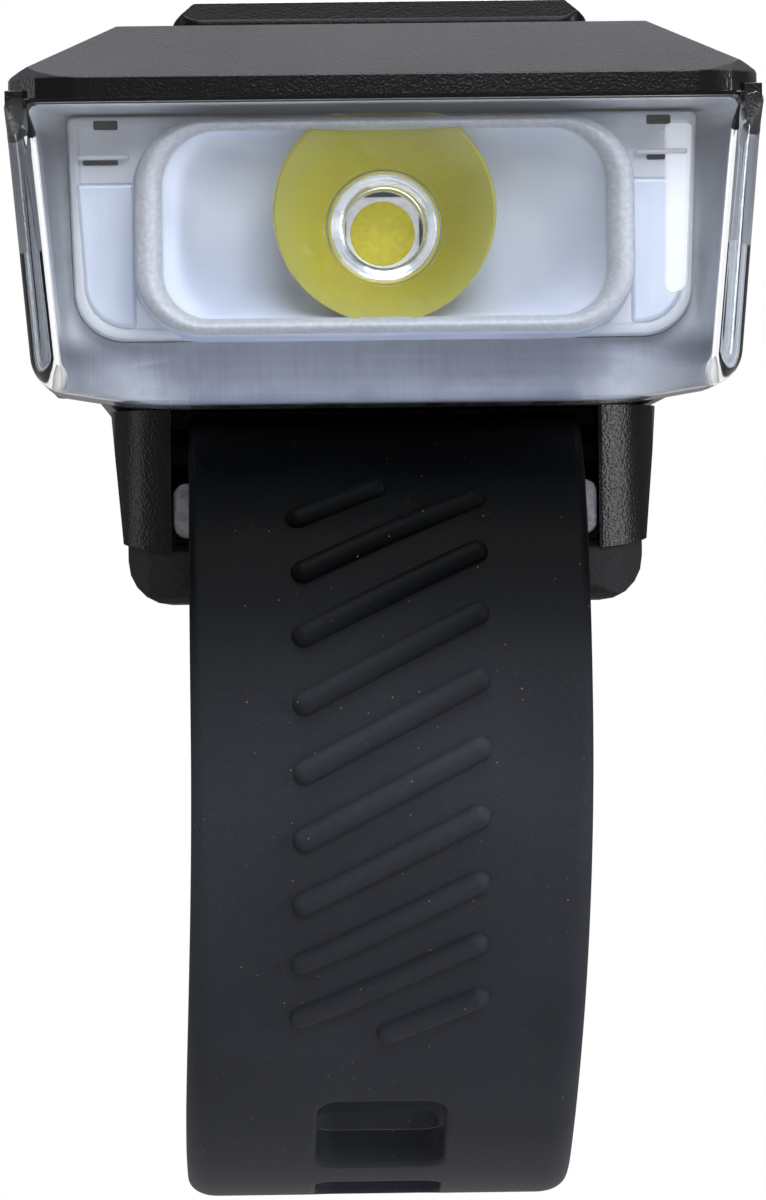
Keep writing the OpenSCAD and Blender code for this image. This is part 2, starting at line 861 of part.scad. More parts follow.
// Round lead from point to point, square ended
module lead(points, r) {
    for (i = [0:len(points) - 2]) {
        d = points[i + 1] - points[i];
        translate(points[i]) rotate([0, acos(d[2] / norm(d)), atan2(d[1], d[0])])
            cylinder(r = r, h = norm(d), $fn = 24);
        if (i > 0) translate(points[i]) sphere(r = r, $fn = 24);
    }
}

module battery_leads() {
    x = cell_w / 2 - ring_t;
    y = cell_front_y + cell_len;
    z = floor_z + wall + foam_t + cell_h - ring_t;
    color("firebrick")
    for (i = [0, 1])
        lead([[-x + i * lead_step, y, z - lead_step], [-x + i * lead_step, y + lead_step, z - lead_step],
            [-x + i * lead_step, y + lead_step, board_z]], lead_r);
}

// Emitter leads, through the notches of the heat sink to the front edge of the board
module led_leads() {
    x = led_board_w / 2 + lead_step;
    y = board_front_y - lead_r - seat_gap;
    color("ivory")
    mirrored_x()
        lead([[x, led_board_y + led_board_t / 2, lead_z], [x, y, lead_z],
            [x, y, board_z + board_t / 2]], lead_r);
}

module main_board() {
    y1 = rear_len - wall - flap_recess / 2 - board_rear_gap;
    color([0.05, 0.3, 0.15])
    difference() {
        along_z(board_z, board_z + board_t)
            pane([-board_w / 2, board_front_y], [board_w / 2, y1], board_corner);
        mirrored_x() translate([case_screw_x, case_screw_y, board_z - over])
            cylinder(r = case_column_r + 2 * seat_gap, h = board_t + 2 * over);
        mirrored_x() box([case_screw_x, case_screw_y - case_column_r, board_z - over],
            [head_w, rear_len, board_z + board_t + over]);
    }
}

// Chips on top of the board: place, length across and along, height
chip_h = 0.9;
chip_shares = [[-0.3, 0.24, 0.16, 0.12], [0.3, 0.3, 0.2, 0.14], [0.28, 0.62, 0.12, 0.09],
    [-0.28, 0.66, 0.14, 0.16]];

module board_chips() {
    color([0.12, 0.12, 0.13])
    for (c = chip_shares)
        translate([c[0] * board_w, board_front_y + c[1] * cell_len * 1.1, board_z + board_t])
            translate([-c[2] * board_w / 2, -c[3] * cell_len / 2, 0])
                cube([c[2] * board_w, c[3] * cell_len, chip_h]);
}

module tact_switch() {
    color([0.5, 0.5, 0.52])
    difference() {
        translate([-switch_w / 2, button_y - switch_w / 2, board_z + board_t])
            cube([switch_w, switch_w, switch_h]);
        translate([0, button_y, stem_top() - switch_stem_h - button_travel - run_gap])
            cylinder(r = switch_bore_r, h = pad_z);
    }
}

module switch_stem() {
    color([0.85, 0.85, 0.85])
    translate([0, button_y, stem_top() - switch_stem_h]) cylinder(r = switch_r, h = switch_stem_h);
}

module status_led() {
    color([0.2, 0.85, 0.35])
    for (i = [0:lamp_count - 1])
        translate([(i - (lamp_count - 1) / 2) * ind_guide_w / lamp_count - lamp_size / 2,
            ind_y - lamp_size / 2, board_z + board_t])
            cube([lamp_size, lamp_size, lamp_h]);
}

module usb_socket() {
    z = board_z - usb_h / 2;
    color([0.7, 0.7, 0.72])
    difference() {
        along_y(usb_rear - usb_depth, usb_rear)
            pane([-usb_w / 2, z - usb_h / 2], [usb_w / 2, z + usb_h / 2], usb_r);
        along_y(usb_rear - usb_depth + 2 * usb_wall, usb_rear + over)
            pane([-usb_w / 2 + usb_wall, z - usb_h / 2 + usb_wall],
                [usb_w / 2 - usb_wall, z + usb_h / 2 - usb_wall], usb_r - usb_wall);
    }
}

module usb_tongue() {
    z = board_z - usb_h / 2;
    y0 = usb_rear - usb_depth + 2 * usb_wall;
    color([0.1, 0.1, 0.1])
    box([-tongue_w / 2, y0, z - tongue_t / 2], [tongue_w / 2, y0 + tongue_len, z + tongue_t / 2]);
}

// Rubber cover of the charging port with its plug and pull tab
module port_cover() {
    z = port_z();
    y0 = rear_len - flap_recess + run_gap;
    color([0.09, 0.09, 0.1])
    union() {
        along_y(y0, y0 + flap_t)
            pane([-flap_w / 2, z - flap_h / 2], [flap_w / 2, z + flap_h / 2], flap_r);
        along_y(y0 - plug_depth, y0 + over / 2)
            pane([-plug_w / 2, z - plug_h / 2], [plug_w / 2, z + plug_h / 2], port_r);
        box([flap_w / 2 - 2 * pull_w, y0 + flap_t, z - pull_h / 2],
            [flap_w / 2 - pull_w, y0 + flap_t + pull_out, z + pull_h / 2]);
    }
}

// Root of the rubber tether that the port cover swings on
module port_tether() {
    z = port_z();
    color([0.09, 0.09, 0.1])
    along_y(rear_len - flap_recess, rear_len - flap_recess + flap_t)
        pane([-flap_w / 2 - hinge_out - tether_w, z - tether_h / 2],
            [-flap_w / 2 - run_gap, z + tether_h / 2], run_gap);
}

// Screw along Z with its head below, z at the underside of the head
module screw(z, length) {
    difference() {
        union() {
            translate([0, 0, z]) cylinder(r = head_r, h = head_h);
            translate([0, 0, z]) cylinder(r = screw_r, h = length);
        }
        translate([0, 0, z - over]) cylinder(r = drive_r, h = drive_depth + over);
    }
}

module case_screws() {
    color([0.55, 0.55, 0.57])
    mirrored_x() translate([case_screw_x, case_screw_y, 0]) screw(case_head_z, case_screw_len);
}

module base_screws() {
    color([0.55, 0.55, 0.57])
    for (sx = [-1, 1], sy = [-1, 1])
        translate([sx * base_screw_x, sy * base_screw_y, 0]) screw(base_head_z, base_screw_len);
}

// Bracket outline seen from the front, and its plan
module base_front() polygon(both_sides([[base_low_w / 2, seam_z], [base_w / 2, floor_z]]));

module base_plan(inset = 0)
    pane([inset - base_w / 2, inset - base_len / 2], [base_w / 2 - inset, base_len / 2 - inset],
        base_corner_r - inset);

module saddle_bore(r) rotate([0, 90, 0]) cylinder(r = r, h = 2 * head_w, center = true, $fn = 128);

// Space below the joint line, arched over the bar
module below_seam()
    translate([0, 0, seam_z + seam_arch - seam_r]) rotate([0, 90, 0])
        cylinder(r = seam_r, h = 2 * head_w, center = true, $fn = 360);

module base() {
    pocket_low = pin_z - bulb_r - run_gap;
    hook_top = hook_z + hook_t;
    lip_y = loop_rear + run_gap;
    front = -base_len / 2;
    color([0.06, 0.06, 0.06])
    difference() {
        union() {
            difference() {
                intersection() {
                    along_y(-base_len, base_len) base_front();
                    along_z(seam_z, floor_z) base_plan();
                }
                saddle_bore(saddle_r);
                below_seam();
            }
            along_x(-hook_w / 2, hook_w / 2)
                polygon([
                    [base_len / 2 - hook_root, hook_z],
                    [lip_y + hook_lip_t - hook_lip / 2, hook_z],
                    [lip_y + hook_lip_t, hook_z + hook_lip / 2],
                    [lip_y + hook_lip_t, hook_top + hook_lip],
                    [lip_y, hook_top + hook_lip],
                    [lip_y, hook_top],
                    [base_len / 2 - hook_root, hook_top]
                ]);
        }
        box([-pocket_w / 2, front - over, pocket_low],
            [pocket_w / 2, pin_y + bulb_r + pocket_back, floor_z + over]);
        box([-pocket_w / 2, front - over, seam_z - over],
            [pocket_w / 2, front + retainer_in + retainer_t + seat_gap, pocket_low + seat_gap]);
        translate([-pocket_w / 2 - pin_in, pin_y, pin_z]) rotate([0, 90, 0])
            cylinder(r = pin_r, h = pocket_w + 2 * pin_in);
        for (sx = [-1, 1], sy = [-1, 1]) translate([sx * base_screw_x, sy * base_screw_y, 0]) {
            cylinder(r = screw_hole_r, h = floor_z + over);
            cylinder(r = head_r + seat_gap, h = base_head_z + head_h);
        }
    }
}

// Rubber saddle under the bracket
module saddle_pad() {
    half = base_len / 2;
    color([0.14, 0.14, 0.15])
    difference() {
        intersection() {
            along_x(-saddle_w / 2, saddle_w / 2)
                polygon(rounded([[-half, leg_z], [half, leg_z], [half, seam_z],
                    [half - saddle_t, saddle_r + over],
                    [saddle_t - half, saddle_r + over], [-half, seam_z]],
                        [pad_fillet, pad_fillet, 0, 0, 0, 0]));
            along_y(-base_len, base_len)
                polygon(rounded(both_sides([[saddle_w / 2, leg_z], [saddle_w / 2, saddle_r + over]]),
                    [pad_side_r, 0, 0, pad_side_r]));
            along_z(leg_z - over, saddle_r + over) base_plan(pad_inset);
            union() {
                below_seam();
                saddle_bore(saddle_r);
            }
        }
        saddle_bore(seat_r);
    }
}

// Textured plate that closes the front of the strap pocket
module strap_retainer() {
    front = -base_len / 2 + retainer_in;
    color([0.08, 0.08, 0.08])
    along_y(front, front + retainer_t)
        pane([-pocket_w / 2 + seat_gap, seam_z + seam_arch / 3],
            [pocket_w / 2 - seat_gap, retainer_top], retainer_in);
}

module strap_pin() {
    half = pocket_w / 2 + pin_in;
    color([0.7, 0.7, 0.72])
    translate([-half, pin_y, pin_z]) rotate([0, 90, 0]) cylinder(r = pin_r, h = 2 * half);
}

// Outer face of the strap in YZ: crest, front, bottom, back, then the tab turned outwards
crest_z = pin_z + bulb_r;
rise_front = crest_z - strap_mid_z;
drop_low = strap_mid_z + loop_low;
strap_path = concat(
    [for (i = [0:path_steps]) let (t = 90 * i / path_steps)
        [pin_y - (loop_front + pin_y) * sin(t), strap_mid_z + rise_front * cos(t)]],
    [for (i = [1:path_steps]) let (t = 90 * i / path_steps)
        [-loop_front * cos(t), strap_mid_z - drop_low * sin(t)]],
    [for (i = [1:path_steps]) let (t = 90 * i / path_steps)
        [loop_rear * sin(t), strap_mid_z - drop_low * cos(t)]],
    arc([loop_rear + tab_r, tail_top], tab_r, 180, 90),
    [[loop_rear + tab_r + tab_len, tail_top + tab_r]]
);

// Distance along the path of each of its points
function run_to(i) = i == 0 ? 0 : run_to(i - 1) + norm(strap_path[i] - strap_path[i - 1]);
runs = [for (i = [0:len(strap_path) - 1]) run_to(i)];
run_y = [for (i = [0:len(runs) - 1]) [runs[i], strap_path[i][0]]];
run_z = [for (i = [0:len(runs) - 1]) [runs[i], strap_path[i][1]]];
strap_end = runs[len(runs) - 1];

// Place on the outer face at distance s, its direction, and the way in to the bar
function on_strap(s) = [lookup(s, run_y), lookup(s, run_z)];
function strap_dir(s) = unit(on_strap(min(s + run_gap, strap_end)) - on_strap(max(s - run_gap, 0)));
function strap_in(s) = let (d = strap_dir(s)) [-d[1], d[0]];

// Stretch of the strap from distance s0 to s1
module strap_run(s0, s1) {
    n = ceil((s1 - s0) / strap_t * 1.6);
    steps = [for (i = [0:n]) s0 + (s1 - s0) * i / n];
    outer = [for (s = steps) on_strap(s)];
    inner = [for (i = [n:-1:0]) on_strap(steps[i]) + strap_t * strap_in(steps[i])];
    along_x(-strap_w / 2, strap_w / 2) polygon(concat(outer, inner));
}

// Fastening slot square to the strap at distance s
module strap_slot(s) {
    p = on_strap(s);
    d = strap_dir(s);
    translate([0, p[0], p[1]]) rotate([atan2(d[1], d[0]), 0, 0])
        along_z(-2 * over, strap_t + 2 * over)
            pane([-slot_w / 2, -slot_len / 2], [slot_w / 2, slot_len / 2], slot_r);
}

// Slots whose centre lies between distances s0 and s1
module slots_between(s0, s1) {
    for (i = [0:loose_slots - 1])
        if (slot_first + i * slot_pitch > s0 && slot_first + i * slot_pitch < s1)
            strap_slot(slot_first + i * slot_pitch);
}

// Slanted grip rib at distance s, from share a to share b of its length
module rib(s, a, b) {
    p = on_strap(s);
    d = strap_dir(s);
    half = rib_len / 2 + rib_w / 2;
    translate([0, p[0], p[1]]) rotate([atan2(d[1], d[0]), 0, 0]) rotate([0, 0, -rib_angle])
        along_z(-rib_proud, strap_t / 3)
            pane([-half + a * 2 * half, -rib_w / 2], [-half + b * 2 * half, rib_w / 2], rib_w * 0.49);
}

strap_colour = [0.09, 0.1, 0.12];

module strap_front() {
    color(strap_colour)
    difference() {
        union() {
            strap_run(0, split_front - joint_gap / 2);
            translate([-strap_w / 2, pin_y, pin_z]) rotate([0, 90, 0]) cylinder(r = bulb_r, h = strap_w);
            for (i = [0:rib_count - 1])
                rib(first_rib + i * rib_pitch, i == rib_count - 1 ? 0.45 : 0, i == 0 ? 0.55 : 1);
        }
        translate([-strap_w, pin_y, pin_z]) rotate([0, 90, 0]) cylinder(r = pin_r, h = 2 * strap_w);
        slots_between(0, split_front);
    }
}

module strap_middle() {
    color(strap_colour)
    difference() {
        strap_run(split_front + joint_gap / 2, split_rear - joint_gap / 2);
        slots_between(split_front, split_rear);
    }
}

module strap_tail() {
    color(strap_colour)
    difference() {
        strap_run(split_rear + joint_gap / 2, strap_end);
        slots_between(split_rear, strap_end);
        along_y(loop_rear - strap_t - over, loop_rear + tab_r * 0.8)
            pane([-slot_w / 2, hook_slot_low], [slot_w / 2, hook_slot_high], slot_r / 2);
    }
}

top_cover();
top_pad();
power_button();
indicator_window();
front_lens();
lens_seal();
inner_bezel();
side_windows();
reflector();
collimator();
led_package();
led_phosphor();
led_board();
heat_sink();
lower_case();
case_seal();
battery_cell();
battery_pads();
battery_leads();
led_leads();
main_board();
board_chips();
tact_switch();
switch_stem();
status_led();
usb_socket();
usb_tongue();
port_cover();
port_tether();
case_screws();
base();
base_screws();
saddle_pad();
strap_retainer();
strap_pin();
strap_front();
strap_middle();
strap_tail();
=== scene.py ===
"""Bicycle headlight on its rubber strap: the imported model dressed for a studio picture."""
import math

import bmesh
import bpy
import numpy as np
from mathutils import Matrix, Vector


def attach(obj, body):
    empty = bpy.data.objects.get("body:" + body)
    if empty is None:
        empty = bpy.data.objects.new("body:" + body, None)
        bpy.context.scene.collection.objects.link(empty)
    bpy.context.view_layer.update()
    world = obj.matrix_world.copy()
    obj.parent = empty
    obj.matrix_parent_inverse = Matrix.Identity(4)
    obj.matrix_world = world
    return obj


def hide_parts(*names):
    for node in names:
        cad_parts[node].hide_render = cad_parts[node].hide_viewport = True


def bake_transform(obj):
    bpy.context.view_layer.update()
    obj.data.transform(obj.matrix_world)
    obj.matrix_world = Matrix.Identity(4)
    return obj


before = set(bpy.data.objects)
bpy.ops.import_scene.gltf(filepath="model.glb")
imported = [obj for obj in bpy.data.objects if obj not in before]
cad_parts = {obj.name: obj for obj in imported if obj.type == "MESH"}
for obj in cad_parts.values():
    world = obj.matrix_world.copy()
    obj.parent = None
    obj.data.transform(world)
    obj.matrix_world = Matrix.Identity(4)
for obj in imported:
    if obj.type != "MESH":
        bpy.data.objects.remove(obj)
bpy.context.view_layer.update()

MM = 0.001
bpy.context.scene.view_settings.view_transform = "Standard"


# Sums of shader values, for the room and the finishes

def math_node(tree, operation, a, b=None, c=None):
    """Math node whose inputs are numbers or sockets."""
    node = tree.nodes.new("ShaderNodeMath")
    node.operation = operation
    for socket, value in zip(node.inputs, (a, b, c)):
        if value is None:
            continue
        if isinstance(value, (int, float)):
            socket.default_value = value
        else:
            tree.links.new(value, socket)
    return node.outputs[0]


def times(tree, a, b):
    """Product of two numbers or sockets."""
    return math_node(tree, "MULTIPLY", a, b)


# Studio: the camera in mm and metres, then the share of the white room that gloss and other light see

SENSOR = 36
FRAME_DISTANCE, FRAME_HEIGHT = 400, 63.28
EYE, AIM = (-0.0069, -0.430, 0.00892), (-0.00038, -0.030, 0.00894)
ROLL = math.radians(0.7)
ROOM_GLOSS, ROOM_LIGHT = 0.2, 0.22


def look_from(eye, aim, roll):
    """Camera matrix: the view runs from eye to aim, level, then turned by roll about the view."""
    forward = (Vector(aim) - Vector(eye)).normalized()
    right = forward.cross(Vector((0, 0, 1))).normalized()
    up = right.cross(forward)
    turn = Matrix((right, up, -forward)).transposed().to_4x4()
    return Matrix.Translation(Vector(eye)) @ turn @ Matrix.Rotation(-roll, 4, "Z")


def place_camera():
    """Long lens, 400 mm before the front of the light, the frame 63.28 mm high there."""
    lens = bpy.data.cameras.new("studio_camera")
    lens.sensor_fit = "VERTICAL"
    lens.sensor_height = SENSOR
    lens.lens = SENSOR * FRAME_DISTANCE / FRAME_HEIGHT
    lens.clip_start = 0.01
    lens.clip_end = 10
    camera = bpy.data.objects.new("studio_camera", lens)
    camera.matrix_world = look_from(EYE, AIM, ROLL)
    bpy.context.collection.objects.link(camera)
    bpy.context.scene.camera = camera


def softbox(name, place, aim, size, power):
    """Rectangular lamp at place that faces aim."""
    lamp = bpy.data.lights.new(name, "AREA")
    lamp.shape = "RECTANGLE"
    lamp.size, lamp.size_y = size
    lamp.energy = power
    body = bpy.data.objects.new(name, lamp)
    body.location = place
    body.rotation_euler = (Vector(aim) - Vector(place)).to_track_quat("-Z", "Y").to_euler()
    bpy.context.collection.objects.link(body)


def studio_world():
    """White to the camera and through clear plastic, softer as light on the object."""
    world = bpy.data.worlds.new("white_room")
    bpy.context.scene.world = world
    world.use_nodes = True
    tree = world.node_tree
    tree.nodes.clear()
    out = tree.nodes.new("ShaderNodeOutputWorld")
    rays = tree.nodes.new("ShaderNodeLightPath").outputs
    shown = math_node(tree, "MAXIMUM", rays["Is Camera Ray"], rays["Is Transmission Ray"])
    either = math_node(tree, "MAXIMUM", shown, times(tree, rays["Is Glossy Ray"], ROOM_GLOSS))
    back = tree.nodes.new("ShaderNodeBackground")
    back.inputs["Color"].default_value = (1, 1, 1, 1)
    tree.links.new(math_node(tree, "MAXIMUM", either, ROOM_LIGHT), back.inputs["Strength"])
    tree.links.new(back.outputs[0], out.inputs[0])


place_camera()
studio_world()
softbox("top_softbox", (0.0, -0.16, 0.42), (0, 0, 0.01), (0.36, 0.30), 2.2)
softbox("front_softbox", (0.08, -0.455, 0.24), (0, 0, 0.01), (0.26, 0.20), 1.4)
softbox("left_strip", (-0.40, -0.04, 0.06), (0, -0.01, 0.01), (0.06, 0.40), 0.3)
softbox("right_strip", (0.38, -0.18, 0.02), (0, -0.01, 0.0), (0.07, 0.40), 1.2)
softbox("rear_softbox", (0.05, 0.42, 0.25), (0, 0, 0.01), (0.30, 0.20), 1.6)


# Mesh tools

def grid_faces(rows, cols, closed=False):
    """Quads of a rows by cols sheet of points; closed joins the last column to the first."""
    index = np.arange(rows * cols).reshape(rows, cols)
    if closed:
        index = np.hstack([index, index[:, :1]])
    a, b, c, d = index[:-1, :-1], index[:-1, 1:], index[1:, 1:], index[1:, :-1]
    return np.stack([a, b, c, d], -1).reshape(-1, 4)


def weld(name, points, faces, outward=True, sharp=32):
    """Mesh in metres from points in mm: doubles merged, faces outward, edges over sharp degrees crisp."""
    mesh = bpy.data.meshes.new(name)
    mesh.from_pydata((np.asarray(points) * MM).tolist(), [], np.asarray(faces).tolist())
    bm = bmesh.new()
    bm.from_mesh(mesh)
    bmesh.ops.remove_doubles(bm, verts=bm.verts, dist=2e-7)
    bmesh.ops.dissolve_degenerate(bm, edges=bm.edges, dist=1e-7)
    if outward:
        bmesh.ops.recalc_face_normals(bm, faces=bm.faces)
    bm.to_mesh(mesh)
    bm.free()
    mesh.shade_smooth()
    mesh.set_sharp_from_angle(angle=math.radians(sharp))
    return mesh


def piece(name, mesh, finish, body, *nodes):
    """Object at the origin with its place in its mesh; it rides body, if given, and replaces CAD nodes."""
    made = bpy.data.objects.new(name, mesh)
    bpy.context.collection.objects.link(made)
    mesh.materials.clear()
    mesh.materials.append(finish)
    if body:
        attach(made, body)
    if nodes:
        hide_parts(*nodes)
    return made


def housing_piece(name, skin, finish, *nodes, **how):
    """Piece that rides the housing, from a skin of points and faces."""
    piece(name, weld(name, *skin, **how), finish, "housing", *nodes)


def outline(corners, radii, arc, edge):
    """Rounded polygon, anticlockwise: points and outward normals, arc steps a corner, edge steps a side."""
    corners = np.asarray(corners, float)
    points, normals = [], []
    count = len(corners)
    for i in range(count):
        before, here, after = corners[i - 1], corners[i], corners[(i + 1) % count]
        into = (here - before) / np.linalg.norm(here - before)
        onward = (after - here) / np.linalg.norm(after - here)
        turn = math.acos(np.clip(into @ onward, -1, 1))
        back = radii[i] * math.tan(turn / 2)
        n0 = np.array([into[1], -into[0]])
        centre = here - into * back - n0 * radii[i]
        start = math.atan2(n0[1], n0[0])
        angles = start + np.linspace(0, 1, arc + 1) * turn
        n = np.stack([np.cos(angles), np.sin(angles)], 1)
        points.append(centre + radii[i] * n)
        normals.append(n)
    joined, facing = [], []
    for i in range(count):
        joined.append(points[i])
        facing.append(normals[i])
        end, begin = points[i][-1], points[(i + 1) % count][0]
        mix = (np.arange(1, edge) / edge)[:, None]
        joined.append(end + (begin - end) * mix)
        facing.append(np.repeat(normals[i][-1:], edge - 1, 0))
    return np.vstack(joined), np.vstack(facing)


def upright_box(x0, z0, x1, z1):
    """Corners of a box in a flat view, anticlockwise."""
    return [(x0, z0), (x1, z0), (x1, z1), (x0, z1)]


END_STEPS = (0, 0.3, 0.6, 0.85, 0.97)


def loft(rings, close_first=True, close_last=True):
    """Skin through rings of equal count; an end is closed by shrinking its ring to the middle."""
    rings = [np.asarray(r, float) for r in rings]
    if close_first:
        middle = rings[0].mean(0)
        rings = [middle + (rings[0] - middle) * k for k in END_STEPS] + rings
    if close_last:
        middle = rings[-1].mean(0)
        rings = rings + [middle + (rings[-1] - middle) * k for k in END_STEPS[::-1]]
    points = np.vstack(rings)
    return points, grid_faces(len(rings), len(rings[0]), closed=True)


def tube(rings):
    """Skin through rings, open at both ends."""
    return loft(rings, close_first=False, close_last=False)


def at_depth(flat, y):
    """Front outline (x, z) set at depth y, a number or one value a point."""
    return np.stack([flat[:, 0], np.broadcast_to(y, flat.shape[0]), flat[:, 1]], 1)


def join(*parts):
    """Points and faces of several skins as one."""
    points, faces, base = [], [], 0
    for p, f in parts:
        points.append(p)
        faces.append(np.asarray(f) + base)
        base += len(p)
    return np.vstack(points), np.vstack(faces)


def eased(name, node, width, finish, body):
    """Moulded solid with rounded edges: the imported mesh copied, merged, its flats joined, bevelled."""
    crisp = math.radians(28)
    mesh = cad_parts[node].data.copy()
    mesh.name = name
    bm = bmesh.new()
    bm.from_mesh(mesh)
    bmesh.ops.remove_doubles(bm, verts=bm.verts, dist=2e-6)
    bmesh.ops.dissolve_degenerate(bm, edges=bm.edges, dist=1e-6)
    bmesh.ops.dissolve_limit(bm, angle_limit=math.radians(0.6), verts=bm.verts, edges=bm.edges)
    bm.to_mesh(mesh)
    bm.free()
    mesh.shade_smooth()
    mesh.set_sharp_from_angle(angle=crisp)
    made = piece(name, mesh, finish, body, node)
    edge = made.modifiers.new("edge rounding", "BEVEL")
    edge.width = width * MM
    edge.segments = 2
    edge.limit_method = "ANGLE"
    edge.angle_limit = crisp
    edge.harden_normals = True
    edge.use_clamp_overlap = True


# Patterns shared by the finishes

def pattern(name, inputs, outputs):
    """Empty shader group with named inputs (kind, value) and outputs."""
    tree = bpy.data.node_groups.new(name, "ShaderNodeTree")
    for label, kind, value in inputs:
        socket = tree.interface.new_socket(label, in_out="INPUT", socket_type=kind)
        socket.default_value = value
    for label, kind in outputs:
        tree.interface.new_socket(label, in_out="OUTPUT", socket_type=kind)
    return tree, tree.nodes.new("NodeGroupInput"), tree.nodes.new("NodeGroupOutput")


def noise(tree, place, scale, detail=2.0, rough=0.5, stretch=None):
    """Noise value at place; stretch draws it out along x, y or z."""
    if stretch:
        bend = tree.nodes.new("ShaderNodeMapping")
        bend.inputs["Scale"].default_value = stretch
        tree.links.new(place, bend.inputs["Vector"])
        place = bend.outputs[0]
    node = tree.nodes.new("ShaderNodeTexNoise")
    node.inputs["Detail"].default_value = detail
    node.inputs["Roughness"].default_value = rough
    tree.links.new(place, node.inputs["Vector"])
    if isinstance(scale, (int, float)):
        node.inputs["Scale"].default_value = scale
    else:
        tree.links.new(scale, node.inputs["Scale"])
    return node.outputs["Fac"]


def ramp(tree, value, low, high, out_low=0.0, out_high=1.0):
    """Value mapped by an S-curve from low..high to out_low..out_high, held at the ends."""
    node = tree.nodes.new("ShaderNodeMapRange")
    node.interpolation_type = "SMOOTHSTEP"
    for label, number in zip(("From Min", "From Max", "To Min", "To Max"), (low, high, out_low, out_high)):
        node.inputs[label].default_value = number
    tree.links.new(value, node.inputs["Value"])
    return node.outputs["Result"]


def blend_paint(tree, factor, a, b):
    """Colour between a and b, each a colour or a socket."""
    node = tree.nodes.new("ShaderNodeMix")
    node.data_type = "RGBA"
    tree.links.new(factor, node.inputs["Factor"])
    for socket, value in ((node.inputs[6], a), (node.inputs[7], b)):
        if isinstance(value, tuple):
            socket.default_value = value
        else:
            tree.links.new(value, socket)
    return node.outputs[2]


def split_axes(tree, place):
    """The x, y and z of a place as sockets."""
    axes = tree.nodes.new("ShaderNodeSeparateXYZ")
    tree.links.new(place, axes.inputs[0])
    return axes.outputs


def mix_shaders(tree, factor, first, second):
    """Shader that goes from the first to the second as factor goes from 0 to 1."""
    mix = tree.nodes.new("ShaderNodeMixShader")
    for socket, source in zip(mix.inputs, (factor, first, second)):
        tree.links.new(source, socket)
    return mix.outputs[0]


def paint(r, g, b):
    """Screen colour, 0 to 255, as linear light."""
    def one(v):
        v /= 255
        return v / 12.92 if v <= 0.04045 else ((v + 0.055) / 1.055) ** 2.4
    return one(r), one(g), one(b), 1.0


def mould_grain():
    """Fine spark-eroded mould texture: pebbles of Voronoi cells broken up by noise."""
    tree, into, out = pattern("mould grain", [
        ("Place", "NodeSocketVector", (0, 0, 0)), ("Pebbles a metre", "NodeSocketFloat", 4000.0),
        ("Unevenness", "NodeSocketFloat", 0.4)],
        [("Height", "NodeSocketFloat"), ("Shine", "NodeSocketFloat")])
    place, size, uneven = into.outputs[:3]
    cells = tree.nodes.new("ShaderNodeTexVoronoi")
    cells.feature = "SMOOTH_F1"
    cells.inputs["Smoothness"].default_value = 0.6
    tree.links.new(place, cells.inputs["Vector"])
    tree.links.new(size, cells.inputs["Scale"])
    fine = noise(tree, place, times(tree, size, 0.6), 3.0)
    height = math_node(tree, "MULTIPLY_ADD", fine, uneven, cells.outputs["Distance"])
    tree.links.new(height, out.inputs["Height"])
    broad = noise(tree, place, 60.0, 3.0, 0.6)
    tree.links.new(math_node(tree, "ADD", times(tree, fine, 0.35),
                             times(tree, broad, 0.65)), out.inputs["Shine"])
    return tree


def dust_specks():
    """Sparse settled dust: small Voronoi dots of which only a few are kept."""
    tree, into, out = pattern("dust specks", [
        ("Place", "NodeSocketVector", (0, 0, 0)), ("Cells a metre", "NodeSocketFloat", 900.0),
        ("Share kept", "NodeSocketFloat", 0.12), ("Size", "NodeSocketFloat", 0.07)],
        [("Mask", "NodeSocketFloat")])
    cells = tree.nodes.new("ShaderNodeTexVoronoi")
    tree.links.new(into.outputs["Place"], cells.inputs["Vector"])
    tree.links.new(into.outputs["Cells a metre"], cells.inputs["Scale"])
    split = tree.nodes.new("ShaderNodeSeparateColor")
    tree.links.new(cells.outputs["Color"], split.inputs[0])
    kept = math_node(tree, "LESS_THAN", split.outputs[0], into.outputs["Share kept"])
    near = times(tree, into.outputs["Size"], math_node(tree, "ADD", split.outputs[1], 0.4))
    dot = math_node(tree, "LESS_THAN", cells.outputs["Distance"], near)
    tree.links.new(times(tree, kept, dot), out.inputs["Mask"])
    return tree


def handling():
    """Broad smudges and fine rub lines left by fingers, as a change of gloss."""
    tree, into, out = pattern("handling marks", [
        ("Place", "NodeSocketVector", (0, 0, 0)), ("Amount", "NodeSocketFloat", 0.5)],
        [("Gloss change", "NodeSocketFloat")])
    place = into.outputs["Place"]
    broad = noise(tree, place, 90.0, 4.0, 0.6)
    lines = noise(tree, place, 500.0, 3.0, 0.7, (1.0, 0.2, 0.12))
    mixed = math_node(tree, "MULTIPLY_ADD", lines, 0.4, times(tree, broad, 0.6))
    centred = math_node(tree, "SUBTRACT", mixed, 0.5)
    tree.links.new(times(tree, centred, into.outputs["Amount"]), out.inputs["Gloss change"])
    return tree


GRAIN, DUST, MARKS = mould_grain(), dust_specks(), handling()


def use(tree, group, place, **values):
    """Shared pattern placed in a material, with its own numbers."""
    node = tree.nodes.new("ShaderNodeGroup")
    node.node_tree = group
    tree.links.new(place, node.inputs["Place"])
    for label, value in values.items():
        node.inputs[label.replace("_", " ")].default_value = value
    return node


def blank(name):
    """New material: its tree, its Principled shader and Object coordinates."""
    finish = bpy.data.materials.new(name)
    finish.use_nodes = True
    tree = finish.node_tree
    shader = tree.nodes["Principled BSDF"]
    place = tree.nodes.new("ShaderNodeTexCoord").outputs["Object"]
    return finish, tree, shader, place


